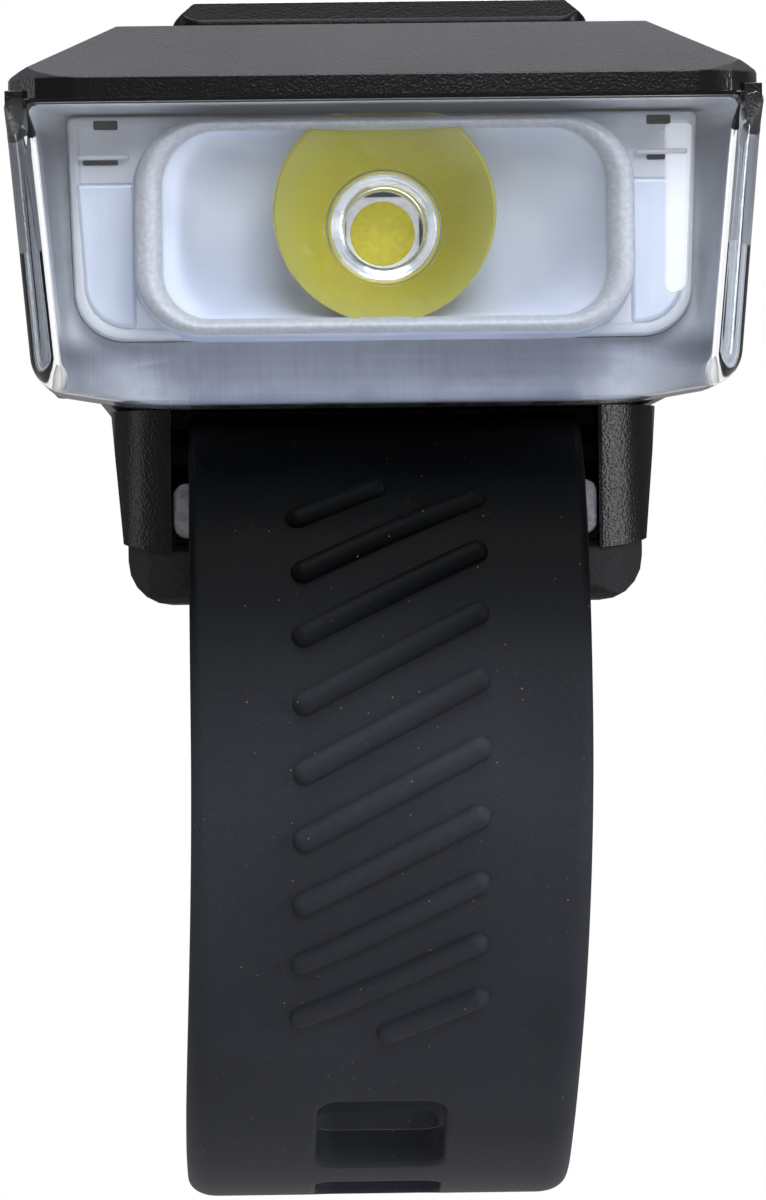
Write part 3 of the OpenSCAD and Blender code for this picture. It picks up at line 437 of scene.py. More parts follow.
def bump(tree, shader, height, depth, strength=1.0):
    """Height in the range 0 to 1 as a relief of depth metres."""
    node = tree.nodes.new("ShaderNodeBump")
    node.inputs["Distance"].default_value = depth
    node.inputs["Strength"].default_value = strength
    tree.links.new(height, node.inputs["Height"])
    tree.links.new(node.outputs[0], shader.inputs["Normal"])


def handled(tree, shader, place, amount, rough):
    """Roughness that the marks of handling change a little either way."""
    marks = use(tree, MARKS, place, Amount=amount)
    tree.links.new(math_node(tree, "ADD", marks.outputs["Gloss change"], rough), shader.inputs["Roughness"])


def dusted(tree, place, tone, share, cells, strength, dust):
    """Tone with specks of dust over it."""
    specks = use(tree, DUST, place, Share_kept=share, Cells_a_metre=cells)
    return blend_paint(tree, times(tree, specks.outputs["Mask"], strength), tone, dust)


def moulded(name, dark, pale, rough, spread, grain, depth, gloss=0.5, dust=0.0, painted_shade=None, cells=700):
    """Moulded plastic or rubber: two close tones, grained relief, uneven gloss and a little dust.
    Its argument for painted shade is (z_start, z_end, tone_end): between the two heights the tone goes over
    to tone_end."""
    finish, tree, shader, place = blank(name)
    skin = use(tree, GRAIN, place, Pebbles_a_metre=grain)
    tone = blend_paint(tree, ramp(tree, skin.outputs["Shine"], 0.35, 0.65), dark, pale)
    # Painted shade: between the two heights the tone goes over to the shade tone.
    if painted_shade:
        tone = blend_paint(tree, ramp(tree, split_axes(tree, place)[2], painted_shade[0], painted_shade[1]), tone, painted_shade[2])
    if dust:
        tone = dusted(tree, place, tone, dust, cells, 0.5, paint(150, 148, 145))
    tree.links.new(tone, shader.inputs["Base Color"])
    handled(tree, shader, place, spread, rough)
    shader.inputs["Specular IOR Level"].default_value = gloss
    bump(tree, shader, skin.outputs["Height"], depth)
    return finish


def clear(name, tint, rough=0.03, ior=1.49):
    """Clear moulded plastic that lets lamp light through to what lies behind."""
    finish, tree, shader, place = blank(name)
    shader.inputs["Base Color"].default_value = tint
    shader.inputs["Transmission Weight"].default_value = 1.0
    shader.inputs["IOR"].default_value = ior
    handled(tree, shader, place, 0.06, rough)
    bump(tree, shader, noise(tree, place, 260.0, 1.0), 0.00002, 0.6)
    rays = tree.nodes.new("ShaderNodeLightPath").outputs
    through = tree.nodes.new("ShaderNodeBsdfTransparent")
    through.inputs[0].default_value = (0.93, 0.95, 0.97, 1)
    any_light = math_node(tree, "MAXIMUM", rays["Is Shadow Ray"], rays["Is Diffuse Ray"])
    mixed = mix_shaders(tree, any_light, shader.outputs[0], through.outputs[0])
    tree.links.new(mixed, tree.nodes["Material Output"].inputs[0])
    return finish


def metallised(name, dark, pale, rough, streak, metal):
    """Vacuum-metallised or satin metal face with soft mottling and a slight drawn grain."""
    finish, tree, shader, place = blank(name)
    mottle = noise(tree, place, 220.0, 4.0, 0.6, streak)
    tree.links.new(blend_paint(tree, ramp(tree, mottle, 0.3, 0.7), dark, pale), shader.inputs["Base Color"])
    handled(tree, shader, place, 0.15, rough)
    shader.inputs["Metallic"].default_value = metal
    bump(tree, shader, noise(tree, place, 5200.0), 0.000012, 0.5)
    return finish


def cover_finish():
    """Matt black cover plastic: the facets painted grey as lit from above, with grain and dust; near black
    and glossier below their edge.
    """
    finish, tree, shader, place = blank("matt black cover plastic")
    skin = use(tree, GRAIN, place, Pebbles_a_metre=7000, Unevenness=0.6)
    # The facets above COVER_EDGE get painted light from above; below it the plastic keeps its own near black.
    upper = ramp(tree, split_axes(tree, place)[2], COVER_EDGE - 0.00005, COVER_EDGE + 0.00012)
    shine = ramp(tree, skin.outputs["Shine"], 0.35, 0.65)
    painted_lit_facet = blend_paint(tree, shine, paint(43, 42, 47), paint(55, 53, 60))
    painted_lit_facet = dusted(tree, place, painted_lit_facet, 0.05, 1400, 0.4, paint(120, 116, 116))
    tree.links.new(blend_paint(tree, upper, paint(5, 5, 6), painted_lit_facet), shader.inputs["Base Color"])
    handled(tree, shader, place, 0.12, ramp(tree, upper, 0, 1, 0.22, 0.55))
    shader.inputs["Specular IOR Level"].default_value = 0.3
    shader.inputs["Sheen Weight"].default_value = 0.04
    bump(tree, shader, skin.outputs["Height"], 0.00001)
    return finish


# Height of the facets' lower edge, above which the cover is painted lighter as if lit from above.
COVER_EDGE = 0.0367
cover_plastic_painted_lit_facets = cover_finish()
satin_plastic = moulded("satin black clamp plastic", paint(8, 8, 10), paint(13, 13, 16),
                        0.28, 0.12, 7000, 0.000018, 0.22, 0.03)
soft_pad = moulded("soft saddle rubber", paint(20, 20, 23), paint(28, 28, 32),
                   0.62, 0.12, 3600, 0.00003, 0.2, 0.05)
textured_insert = moulded("coarse textured insert", paint(92, 92, 98), paint(150, 150, 158),
                          0.5, 0.14, 3400, 0.00008, 0.4, 0.03)
# Painted shade: from z -2 mm up to 11.8 mm the strap darkens to near black, as the head shades its top.
strap_rubber = moulded("matt strap silicone", paint(43, 45, 51), paint(49, 51, 58),
                       0.5, 0.12, 6500, 0.000014, 0.035, 0.3,
                       painted_shade=(-0.002, 0.0118, paint(2, 3, 4)), cells=2200)
button_rubber = moulded("soft button rubber", paint(40, 39, 42), paint(52, 50, 53),
                        0.6, 0.1, 4200, 0.00003, 0.3, 0.04)
case_plastic = moulded("black case plastic", paint(15, 15, 17), paint(24, 24, 27),
                       0.42, 0.14, 6500, 0.000016, 0.25, 0.03)


def surround_finish():
    """Slate liner: painted shade towards the lens wall and in the lower corners, fluted along the bottom,
    pale on top.
    """
    finish, tree, shader, place = blank("slate lens surround")
    x, _, z = split_axes(tree, place)
    aside = math_node(tree, "ABSOLUTE", x)
    low = ramp(tree, z, 0.0238, 0.0222)
    lower = ramp(tree, z, 0.0225, 0.0212)
    high = ramp(tree, z, 0.0338, 0.0348)
    # Painted shade in the lower corners.
    corner_shade = times(tree, low, ramp(tree, aside, 0.0120, 0.0172))
    flutes = times(tree, noise(tree, place, 900.0, 2.0, 0.6, (3.2, 0.02, 0.05)), low)
    mottle = noise(tree, place, 420.0, 3.0, 0.6)
    # Painted shade: the tone darkens towards the lens wall.
    tone = blend_paint(tree, ramp(tree, aside, 0.0166, 0.0188), paint(220, 222, 228), paint(126, 129, 138))
    for part, colour in (
            (times(tree, low, 0.7), paint(170, 174, 188)),
            (times(tree, lower, 0.75), paint(236, 238, 243)),
            (times(tree, flutes, 0.8), paint(212, 218, 234)),
            (ramp(tree, mottle, 0.35, 0.75, 0.0, 0.25), paint(110, 113, 122)),
            (times(tree, corner_shade, 0.8), paint(62, 66, 80)),
            (times(tree, high, 0.85), paint(226, 228, 233))):
        tone = blend_paint(tree, part, tone, colour)
    tree.links.new(tone, shader.inputs["Base Color"])
    shader.inputs["Roughness"].default_value = 0.32
    bump(tree, shader, flutes, 0.00006, 0.7)
    return finish


surround_slate = surround_finish()
board_green = moulded("circuit board", paint(14, 58, 40), paint(22, 76, 52), 0.35, 0.1, 3000, 0.00001)
chip_black = moulded("chip resin", paint(24, 24, 26), paint(36, 36, 38), 0.5, 0.1, 6000, 0.00001, 0.4)


def painted_glow_finish(name, dark, pale, painted_glow):
    """Painted glow: the part's own colour, also given off as light, standing in for the room's light that the
    optic or the side wall pipes onto it.
    """
    finish, tree, shader, place = blank(name)
    mottle = noise(tree, place, 3000.0, 2.0)
    tone = blend_paint(tree, ramp(tree, mottle, 0.3, 0.7), dark, pale)
    tree.links.new(tone, shader.inputs["Base Color"])
    tree.links.new(tone, shader.inputs["Emission Color"])
    shader.inputs["Emission Strength"].default_value = painted_glow
    shader.inputs["Roughness"].default_value = 0.5
    bump(tree, shader, mottle, 0.000004, 0.5)
    return finish


# Painted glow: the unlit emitter package and phosphor give off light, standing in for the room's light in the
# shaded well.
lamp_white = painted_glow_finish("emitter package", paint(206, 208, 214), paint(228, 229, 232), 0.5)
phosphor = painted_glow_finish("emitter phosphor", paint(166, 156, 4), paint(178, 168, 10), 0.75)
white_plastic = moulded("white moulded plastic", paint(214, 214, 216), paint(232, 232, 232),
                        0.35, 0.1, 4000, 0.000005)
cell_wrap = moulded("cell wrap film", paint(60, 84, 120), paint(78, 104, 142), 0.3, 0.2, 900, 0.00001)
lead_red = moulded("lead insulation", paint(150, 30, 28), paint(172, 40, 36), 0.4, 0.1, 5000, 0.00001)
lens_gasket = moulded("milky lens gasket", paint(176, 180, 188), paint(196, 200, 208),
                      0.5, 0.1, 4000, 0.00001, 0.4)
pad_plastic = moulded("black pad plastic", paint(6, 6, 7), paint(11, 11, 13),
                      0.32, 0.12, 7000, 0.000012, 0.15, 0.03)
# Painted shade: the strap pin is near black so that it reads as the shade in its pocket.
pin_steel_painted_shade = metallised("steel painted dark as pocket shade", paint(14, 14, 15), paint(24, 24, 26), 0.4, (0.1, 1, 1), 1.0)
dark_rubber_and_gap_shade = moulded("gasket rubber and painted gap shade", paint(16, 16, 18), paint(26, 26, 28), 0.6, 0.1, 4000, 0.00002, 0.3)


def reflector_finish():
    """Satin reflector: pale grey lip, pale blue tub, a fine frost on both."""
    finish, tree, shader, place = blank("satin reflector")
    inside = ramp(tree, split_axes(tree, place)[1], -0.0264, -0.0255)
    frost = noise(tree, place, 3600.0, 2.0, 0.6)
    cloud = noise(tree, place, 160.0, 2.0)
    lip = blend_paint(tree, ramp(tree, frost, 0.35, 0.7), paint(168, 171, 180), paint(184, 186, 193))
    tub = blend_paint(tree, ramp(tree, cloud, 0.3, 0.7), paint(214, 221, 242), paint(232, 237, 252))
    tree.links.new(blend_paint(tree, inside, lip, tub), shader.inputs["Base Color"])
    shader.inputs["Roughness"].default_value = 0.46
    bump(tree, shader, frost, 0.000012, 0.6)
    return finish


reflector_satin = reflector_finish()
window_metal = metallised("frosted side window", paint(196, 204, 220), paint(216, 223, 236),
                          0.4, (1, 1, 0.3), 0.2)
steel = metallised("brushed steel", paint(150, 150, 152), paint(182, 182, 184), 0.3, (1, 0.1, 1), 1.0)
sink_metal = metallised("cast heat sink", paint(128, 130, 134), paint(156, 158, 162), 0.45, (1, 1, 1), 1.0)
lens_clear = clear("clear lens plastic", (0.96, 0.975, 1.0, 1))
smoked = clear("smoked indicator window", (0.25, 0.27, 0.3, 1), 0.08)


# Strap: a path in the middle plane, then sheets, ribs and slot collars laid on it

STRAP_W, STRAP_T = 21.2, 2.2
EDGE_ROUND, INNER_ROUND, FINE_EDGE = 1.7, 0.4, 1.75
GRID_STEP, COLLAR = 0.26, 0.5
# Runs along the path: the ends of its stretches, where the two lengths meet, where each one bends
FRONT_END, UNDER_END, BACK_END = 26.376, 72.215, 112.122
RISE_END, ROLL_END, STRAP_END = 123.922, 127.995, 134.395
SPLIT_LOW = 72.2
# Slots and ribs
SLOT_PITCH, SLOT_HALF_WIDTH, SLOT_ROUND = 11.4, 3.5, 1.2
RIB_START, RIB_PITCH, RIB_SLANT = 11.75, 3.63, math.radians(27.5)
RIB_HALF, RIB_PROUD, RIB_WIDE = 5.15, 0.62, 0.66


def strap_path():
    """Outer face of the strap: three quarter ellipses round the bar, a straight rise and the rolled tab."""
    q = np.linspace(0, math.pi / 2, 2400)
    run = [
        (np.stack([-14.8 - 16.7 * np.sin(q), 2.2 + 16.9 * np.cos(q)], 1), FRONT_END),
        (np.stack([-31.5 * np.cos(q), 2.2 - 26.8 * np.sin(q)], 1), UNDER_END),
        (np.stack([24 * np.sin(q), 2.2 - 26.8 * np.cos(q)], 1), BACK_END),
        (np.stack([np.full(200, 24.0), np.linspace(2.2, 14, 200)], 1), RISE_END),
        (np.stack([26.6 - 2.6 * np.cos(q), 14 + 2.6 * np.sin(q)], 1), ROLL_END),
        (np.stack([np.linspace(26.6, 33, 100), np.full(100, 16.6)], 1), STRAP_END),
    ]
    places, lengths, start = [], [], 0.0
    for part, end in run:
        step = np.r_[0, np.cumsum(np.hypot(*np.diff(part, axis=0).T))]
        lengths.append(start + step / step[-1] * (end - start))
        places.append(part)
        start = end
    places, lengths = np.vstack(places), np.concatenate(lengths)
    keep = np.r_[True, np.diff(lengths) > 1e-9]
    return places[keep], lengths[keep]


PATH, RUN = strap_path()
HEADING = np.gradient(PATH, RUN, axis=0)
HEADING /= np.linalg.norm(HEADING, axis=1, keepdims=True)


def on_strap(x, s, h):
    """Place x across, s along, h out of the outer face; the outward side is left of the heading."""
    y, z = np.interp(s, RUN, PATH[:, 0]), np.interp(s, RUN, PATH[:, 1])
    dy, dz = np.interp(s, RUN, HEADING[:, 0]), np.interp(s, RUN, HEADING[:, 1])
    size = np.hypot(dy, dz)
    return np.stack([np.broadcast_to(x, np.shape(y)) + lean(s), y + h * dz / size, z - h * dy / size], -1)


def smooth(value, low, high):
    """S-curve from 0 at low to 1 at high."""
    t = np.clip((np.asarray(value, float) - low) / (high - low), 0, 1)
    return t * t * (3 - 2 * t)


def lean(s):
    """Sideways drift of the soft loop, most under the bar and none at the pin and the hook."""
    return -0.68 * smooth(s, 26, 60) * (1 - smooth(s, 78, 108))


def slot_gap(x, s, centre, half_w, half_l, r):
    """Distance from a rounded slot's edge, negative inside."""
    qx, qs = np.abs(x) - (half_w - r), np.abs(s - centre) - (half_l - r)
    return np.hypot(np.maximum(qx, 0), np.maximum(qs, 0)) + np.minimum(np.maximum(qx, qs), 0) - r


def side_drop(x, s):
    """Fall of the outer face in the rounding of its long edges: crisp at the root, full under the bar."""
    full = smooth(s, 20, 52) * (1 - 0.5 * smooth(s, 100, 120))
    wide = EDGE_ROUND * (0.3 + 0.7 * full)
    deep = 0.45 + 0.6 * full
    past = np.clip((np.abs(x) - (STRAP_W / 2 - wide)) / wide, 0, 1)
    return deep * (1 - np.sqrt(np.maximum(1 - past ** 2.2, 0)))


def under_rise(x):
    """Rounding of the inner face at its long edges."""
    r = INNER_ROUND
    past = np.clip(np.abs(x) - (STRAP_W / 2 - r), 0, r)
    return r - np.sqrt(np.maximum(r * r - past * past, 0))


def strap_sheet(s0, s1, slots, cap0=False, cap1=False):
    """Outer and inner face on one grid, cells of the slots left out, the rims joined by side walls."""
    r = FINE_EDGE
    flat = STRAP_W / 2 - r
    inner = np.arange(-flat, flat + 1e-6, (STRAP_W - 2 * r) / round((STRAP_W - 2 * r) / GRID_STEP))
    turn = np.sin(np.linspace(0, math.pi / 2, 14))[1:] * r
    xs = np.r_[-flat - turn[::-1], inner, flat + turn]
    ss = np.linspace(s0, s1, round((s1 - s0) / GRID_STEP) + 1)
    x, s = np.meshgrid(xs, ss)
    rows, cols = x.shape
    cells = grid_faces(rows, cols)
    mid_x, mid_s = x.ravel()[cells].mean(1), s.ravel()[cells].mean(1)
    kept = np.ones(len(cells), bool)
    grown = [(centre, *(size + COLLAR for size in sizes)) for centre, *sizes in slots]
    for slot in grown:
        kept &= slot_gap(mid_x, mid_s, *slot) > 0
    gone = np.zeros(rows * cols, bool)
    gone[np.unique(cells[~kept])] = True
    used = np.zeros(rows * cols, bool)
    used[np.unique(cells[kept])] = True
    rim = gone & used
    fx, fs = x.ravel().copy(), s.ravel().copy()
    nudge = 0.01
    for (centre, _, half_l, _), slot in zip(slots, grown):
        near = rim & (np.abs(fs - centre) < half_l + 2)
        for _ in range(3):
            gap = slot_gap(fx, fs, *slot)
            gx = (slot_gap(fx + nudge, fs, *slot) - gap) / nudge
            gs = (slot_gap(fx, fs + nudge, *slot) - gap) / nudge
            fx[near] -= (gap * gx)[near]
            fs[near] -= (gap * gs)[near]
    outer = on_strap(fx, fs, -side_drop(fx, fs))
    under = on_strap(fx, fs, -STRAP_T + under_rise(fx))
    n = rows * cols
    faces = [cells[kept], cells[kept][:, ::-1] + n]
    index = np.arange(n).reshape(rows, cols)
    for line, wanted in ((index[:, 0][::-1], True), (index[:, -1], True),
                         (index[0], cap0), (index[-1][::-1], cap1)):
        if wanted:
            faces.append(np.stack([line[:-1], line[1:], line[1:] + n, line[:-1] + n], 1))
    return np.vstack([outer, under]), np.vstack(faces)


def slot_collar(centre, half_w, half_l, radius):
    """Rim of a slot: flat margin, rounded lip, wall through the strap, rounded lip and margin inside."""
    lip = 0.32
    q = np.linspace(0, math.pi / 2, 6)
    grow = np.r_[COLLAR, lip * (1 - np.sin(q)), lip * (1 - np.sin(q[::-1])), COLLAR]
    deep = np.r_[0, lip * (1 - np.cos(q)), STRAP_T - lip * (1 - np.cos(q[::-1])), STRAP_T]
    rings = []
    for g, d in zip(grow, deep):
        box = upright_box(-half_w - g, -half_l - g, half_w + g, half_l + g)
        flat, _ = outline(box, [radius + g] * 4, 8, 14)
        rings.append(on_strap(flat[:, 0], centre + flat[:, 1], -d))
    return np.vstack(rings), grid_faces(len(rings), len(rings[0]), closed=True)


def rib(x, s, half):
    """Slanting half-round bar with round ends: (1 - (distance / half width) squared) ** 0.6 of its height."""
    t, wide = RIB_SLANT, RIB_WIDE
    q = np.linspace(0, math.pi / 2, 9)
    along = np.r_[-half - wide * np.cos(q)[:-1], np.linspace(-half, half, 30), half + wide * np.sin(q)[1:]]
    past = np.clip(np.abs(along) - half, 0, wide)
    reach = np.sqrt(np.maximum(wide ** 2 - past ** 2, 0))
    across = np.sin(np.linspace(-math.pi / 2, math.pi / 2, 21))[None, :] * reach[:, None]
    d = np.hypot(past[:, None], across)
    h = RIB_PROUD * np.clip(1 - (d / wide) ** 2, 0, 1) ** 0.6 - 0.015
    a = along[:, None]
    px = x + a * math.cos(t) + across * math.sin(t)
    ps = s - a * math.sin(t) + across * math.cos(t)
    return on_strap(px, ps, h).reshape(-1, 3), grid_faces(len(along), 21)


def build_strap():
    """Two lengths of strap that meet under the bar, each spanning the joint between the two strap parts it
    replaces.
    """
    first = (54.7, SLOT_HALF_WIDTH, 4.15, SLOT_ROUND)
    slots = [first] + [(55 + SLOT_PITCH * i, SLOT_HALF_WIDTH, 3.9, SLOT_ROUND) for i in range(1, 6)]
    hook = (BACK_END + 12.05, SLOT_HALF_WIDTH, 2.85, 0.6)
    ribs = []
    for i, (half, x) in enumerate([(2.35, -2.75)] + [(RIB_HALF, 0.0)] * 8 + [(2.6, 2.45)]):
        shift = -math.tan(RIB_SLANT) * x
        ribs.append(rib(x, RIB_START + RIB_PITCH * i + shift, half))
    upper = [s for s in slots if s[0] < SPLIT_LOW - 4]
    lower = [s for s in slots if s[0] > SPLIT_LOW] + [hook]
    parts = [strap_sheet(0.6, SPLIT_LOW, upper, cap0=True)] + [slot_collar(*s) for s in upper] + ribs
    mesh = weld("strap_upper", *join(*parts), outward=False, sharp=50)
    top = piece("strap_upper", mesh, strap_rubber, None, "strap_front", "strap_middle")
    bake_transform(top)
    parts = [strap_sheet(SPLIT_LOW, STRAP_END, lower, cap1=True)] + [slot_collar(*s) for s in lower]
    mesh = weld("strap_lower", *join(*parts), outward=False, sharp=50)
    low = piece("strap_lower", mesh, strap_rubber, None, "strap_middle", "strap_tail")
    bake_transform(low)


build_strap()


# Clear lens: a deep tray, its front edge rounded more at the bottom than at the sides

LENS_RADII = [2.1, 26.0, 26.0, 2.1, 0.5, 0.5]
LENS_BACK, LENS_FRONT = -18.4, -30.0
LENS_TOP = 35.6
OPTIC_Z = 29.6
WELL_Z = OPTIC_Z - 0.85
OPTIC_R, WELL_R = 5.95, 3.1


def lens_corners(side, low, top):
    """Corners of the lens in the front view, drawn in by side and low, the upper edge at top."""
    return [(-18.72 + side, 20.3 + low), (-13.0, 19.42 + low), (13.0, 19.42 + low),
            (18.72 - side, 20.3 + low), (20.1 - side, top), (-20.1 + side, top)]


def inset_outline(side, low, top):
    """Lens outline drawn in by side, low and top, its corner radii less by the same."""
    radii = [max(r - 0.8 * max(side, low), 0.3) for r in LENS_RADII]
    return outline(lens_corners(side, low, LENS_TOP - top), radii, 12, 10)


def tray_rings(flat, normals, back, front, side_r, low_r):
    """Rings of a tray: straight wall from back, then an elliptic front edge, wider along the level floor."""
    level = np.clip((16.2 - np.abs(flat[:, 0])) / 5.0, 0, 1) * (flat[:, 1] < flat[:, 1].min() + 2.5)
    fade = np.clip((flat[:, 1].max() - flat[:, 1]) / 2.2, 0, 1)
    reach = (side_r + (low_r - side_r) * level * level * (3 - 2 * level)) * fade * fade * (3 - 2 * fade)
    depth = reach * 1.25
    rings = [at_depth(flat, y) for y in np.linspace(back, front + 1.25 * max(side_r, low_r), 5)[:-1]]
    for q in np.linspace(0, math.pi / 2, 9):
        pulled = flat - normals * (reach * (1 - math.cos(q)))[:, None]
        rings.append(at_depth(pulled, front + depth * (1 - math.sin(q))))
    return rings


def build_lens():
    """Outer and inner tray joined at the rear rim; both fronts run flat to the middle."""
    outer, out_n = inset_outline(0, 0, 0)
    inner, in_n = inset_outline(1.15, 0.62, 0.12)
    rings = tray_rings(inner, in_n, LENS_BACK, LENS_FRONT + 1.8, 0.7, 1.4)
    hollow, hollow_faces = loft(rings[::-1], close_last=False)
    skin = tray_rings(outer, out_n, LENS_BACK, LENS_FRONT, 1.25, 2.2)
    solid, solid_faces = loft(skin, close_first=False)
    n = len(outer)
    last_inner = len(hollow) - n
    first_outer = len(hollow)
    rim = np.arange(n)
    ahead = np.roll(rim, -1)
    bridge = np.stack([last_inner + rim, last_inner + ahead, first_outer + ahead, first_outer + rim], 1)
    points = np.vstack([hollow, solid])
    faces = np.vstack([hollow_faces, solid_faces + len(hollow), bridge])
    housing_piece("lens_tray", (points, faces), lens_clear, "front_lens", sharp=40)


def ring_outline(half, low, top, r_low, r_top, arc=12, edge=12):
    """Rounded rectangle in the front view, its lower and upper corner radii apart."""
    return outline(upright_box(-half, low, half, top), [r_low, r_low, r_top, r_top], arc, edge)


def carrier_outline(grow):
    """Edge of the silver carrier: wider at the top, its lower corners round."""
    corners = [(-16.55 - grow, 23.03 - grow), (-10.0, 23.0 - grow), (10.0, 23.0 - grow),
               (16.55 + grow, 23.03 - grow), (17.0 + grow, 35.1), (-17.0 - grow, 35.1)]
    return outline(corners, [2.7 + grow, 20, 20, 2.7 + grow, 0.5, 0.5], 12, 14)


def build_surround():
    """Funnel between carrier and lens wall, curved like a cove, with a thin lip back along the wall."""
    inner, n = carrier_outline(0.05)
    outer, m = outline(lens_corners(1.25, 0.72, 35.38), [1.5, 20, 20, 1.5, 0.5, 0.5], 12, 14)
    rings = [at_depth(inner - n * 0.5, -19.3), at_depth(inner - n * 0.1, -19.3), at_depth(inner, -19.6)]
    for q in np.linspace(0, math.pi / 2, 13):
        f, g = math.sin(q) ** 1.2, 1 - math.cos(q)
        rings.append(at_depth(inner + (outer - inner) * f, -20.4 - 6.4 * g))
    rings += [at_depth(outer + m * d, y) for d, y in ((0.06, -27.0), (0.1, -26.7), (0.1, -18.6))]
    housing_piece("lens_surround", tube(rings), surround_slate, "inner_bezel", outward=False)


def slab(corners, radii, front, back, ease):
    """Flat raised panel in the front view with eased front edges."""
    flat, n = outline(corners, radii, 7, 8)
    rings = [at_depth(flat, back), at_depth(flat, front + ease),
             at_depth(flat - n * ease * 0.3, front + ease * 0.3), at_depth(flat - n * ease, front)]
    return loft(rings, close_first=False)


def mirrored(corners, radii, side):
    """The corners and radii of a panel, kept or turned over to the other side."""
    if side > 0:
        return corners, radii
    return [(-x, z) for x, z in corners][::-1], radii[::-1]


def pierced(edge, hole, middle):
    """The hole's outline taken at the angles of the edge's points, seen from the middle."""
    a = np.arctan2(edge[:, 1] - middle[1], edge[:, 0] - middle[0])
    b = np.arctan2(hole[:, 1] - middle[1], hole[:, 0] - middle[0])
    reach = np.interp(a, b, np.hypot(hole[:, 0] - middle[0], hole[:, 1] - middle[1]), period=2 * math.pi)
    return np.stack([middle[0] + reach * np.cos(a), middle[1] + reach * np.sin(a)], 1)


def build_plate():
    """Silver carrier round the ring, its two frosted windows, the moulded clips and, above the windows, dark
    slabs of painted shade for the gap under each clip and a notch.
    """
    outer, n = carrier_outline(0)
    rings = [at_depth(outer - n * d, y) for d, y in
             ((0.3, -19.5), (0, -20.6), (0.02, -21.6), (0.14, -21.9),
              (0.34, -22.02), (0.55, -22.02), (0.7, -21.9))]
    hole = pierced(outer, ring_outline(13.1, 23.3, 34.4, 3.4, 3.5)[0], (0, 28.85))
    rings += [at_depth(hole, y) for y in (-21.88, -19.5)]
    housing_piece("silver_carrier", tube(rings + rings[:1]), carrier_metal, "side_windows")
    window = [(13.3, 23.65), (15.95, 23.65), (16.5, 31.5), (13.3, 31.5)]
    tight = [0.1] * 4
    for side, name in ((-1, "left"), (1, "right")):
        panel = slab(*mirrored(window, [0.3, 2.4, 0.25, 0.3], side), -22.12, -21.6, 0.2)
        housing_piece(name + "_window", panel, window_metal, "side_windows")
        ledge = slab(*mirrored(upright_box(13.6, 32.72, 16.35, 32.98), tight, side), -22.75, -21.8, 0.08)
        housing_piece(name + "_clips", ledge, carrier_metal, "side_windows")
        # Painted shade: dark slabs where the gap under the clip and the notch above it lie in shade.
        gap = slab(*mirrored(upright_box(14.2, 32.45, 16.1, 32.74), tight, side), -22.06, -21.8, 0.04)
        notch = slab(*mirrored(upright_box(14.2, 34.35, 15.5, 34.85), tight, side), -22.06, -21.8, 0.04)
        housing_piece(name + "_painted_clip_shade", join(gap, notch), dark_rubber_and_gap_shade, "side_windows")


def build_painted_highlight():
    """Painted highlight: a pale upright strip on the right window, glowing a little, put where a lamp's
    highlight runs down that side.
    """
    corners = [(15.0, 24.9), (16.3, 25.5), (16.7, 34.4), (15.2, 34.4)]
    strip = slab(corners, [0.5, 0.6, 0.3, 0.3], -22.3, -21.6, 0.3)
    housing_piece("right_painted_highlight", strip, painted_highlight_strip, "side_windows")


def build_ring():
    """Ring and tub: outer wall, rounded lip, steep concave wall and a floor that falls to the optic."""
    outer, n = ring_outline(13.3, 23.15, 34.6, 3.5, 3.6)
    inner, _ = ring_outline(11.85, 23.98, 34.0, 2.5, 3.0)
    rings = [at_depth(outer + n * d, y) for d, y in ((0.25, -21.8), (0.05, -22.1), (0, -24.0), (0, -26.1))]
    for k in np.linspace(0, 1, 17):
        lip = 0.62 * math.sin(math.pi * min(k + 0.04, 1)) ** 0.7
        rings.append(at_depth(outer + (inner - outer) * k, -26.35 - lip))
    angle = np.arctan2(inner[:, 1] - OPTIC_Z, inner[:, 0])
    circle = np.stack([3.4 * np.cos(angle), OPTIC_Z + 3.4 * np.sin(angle)], 1)
    for q in np.linspace(0.03, math.pi / 2, 30):
        f, g = (1 - math.cos(q)) ** 0.9, math.sin(q) ** 1.1
        rings.append(at_depth(inner + (circle - inner) * f, -26.3 + 5.9 * g))
    rings.append(at_depth(circle, -19.4))
    housing_piece("ring_and_tub", tube(rings), reflector_satin, "reflector", outward=False, sharp=60)


def circle_at(radius, z, y, top=math.inf, count=96):
    """Circle in the front view about height z, cut flat at top."""
    t = np.linspace(0, 2 * math.pi, count, endpoint=False)
    return np.stack([radius * np.cos(t), np.full(count, y), np.minimum(z + radius * np.sin(t), top)], 1)


def optic_loft(profile, top, drop):
    """Closed profile (r, y) swept round; the circles' centre slides down by drop from rim to well."""
    rings = []
    for r, y in profile + profile[:1]:
        sunk = drop * np.clip((OPTIC_R - r) / (OPTIC_R - WELL_R), 0, 1)
        rings.append(circle_at(r, OPTIC_Z - sunk, y, top))
    return tube(rings)


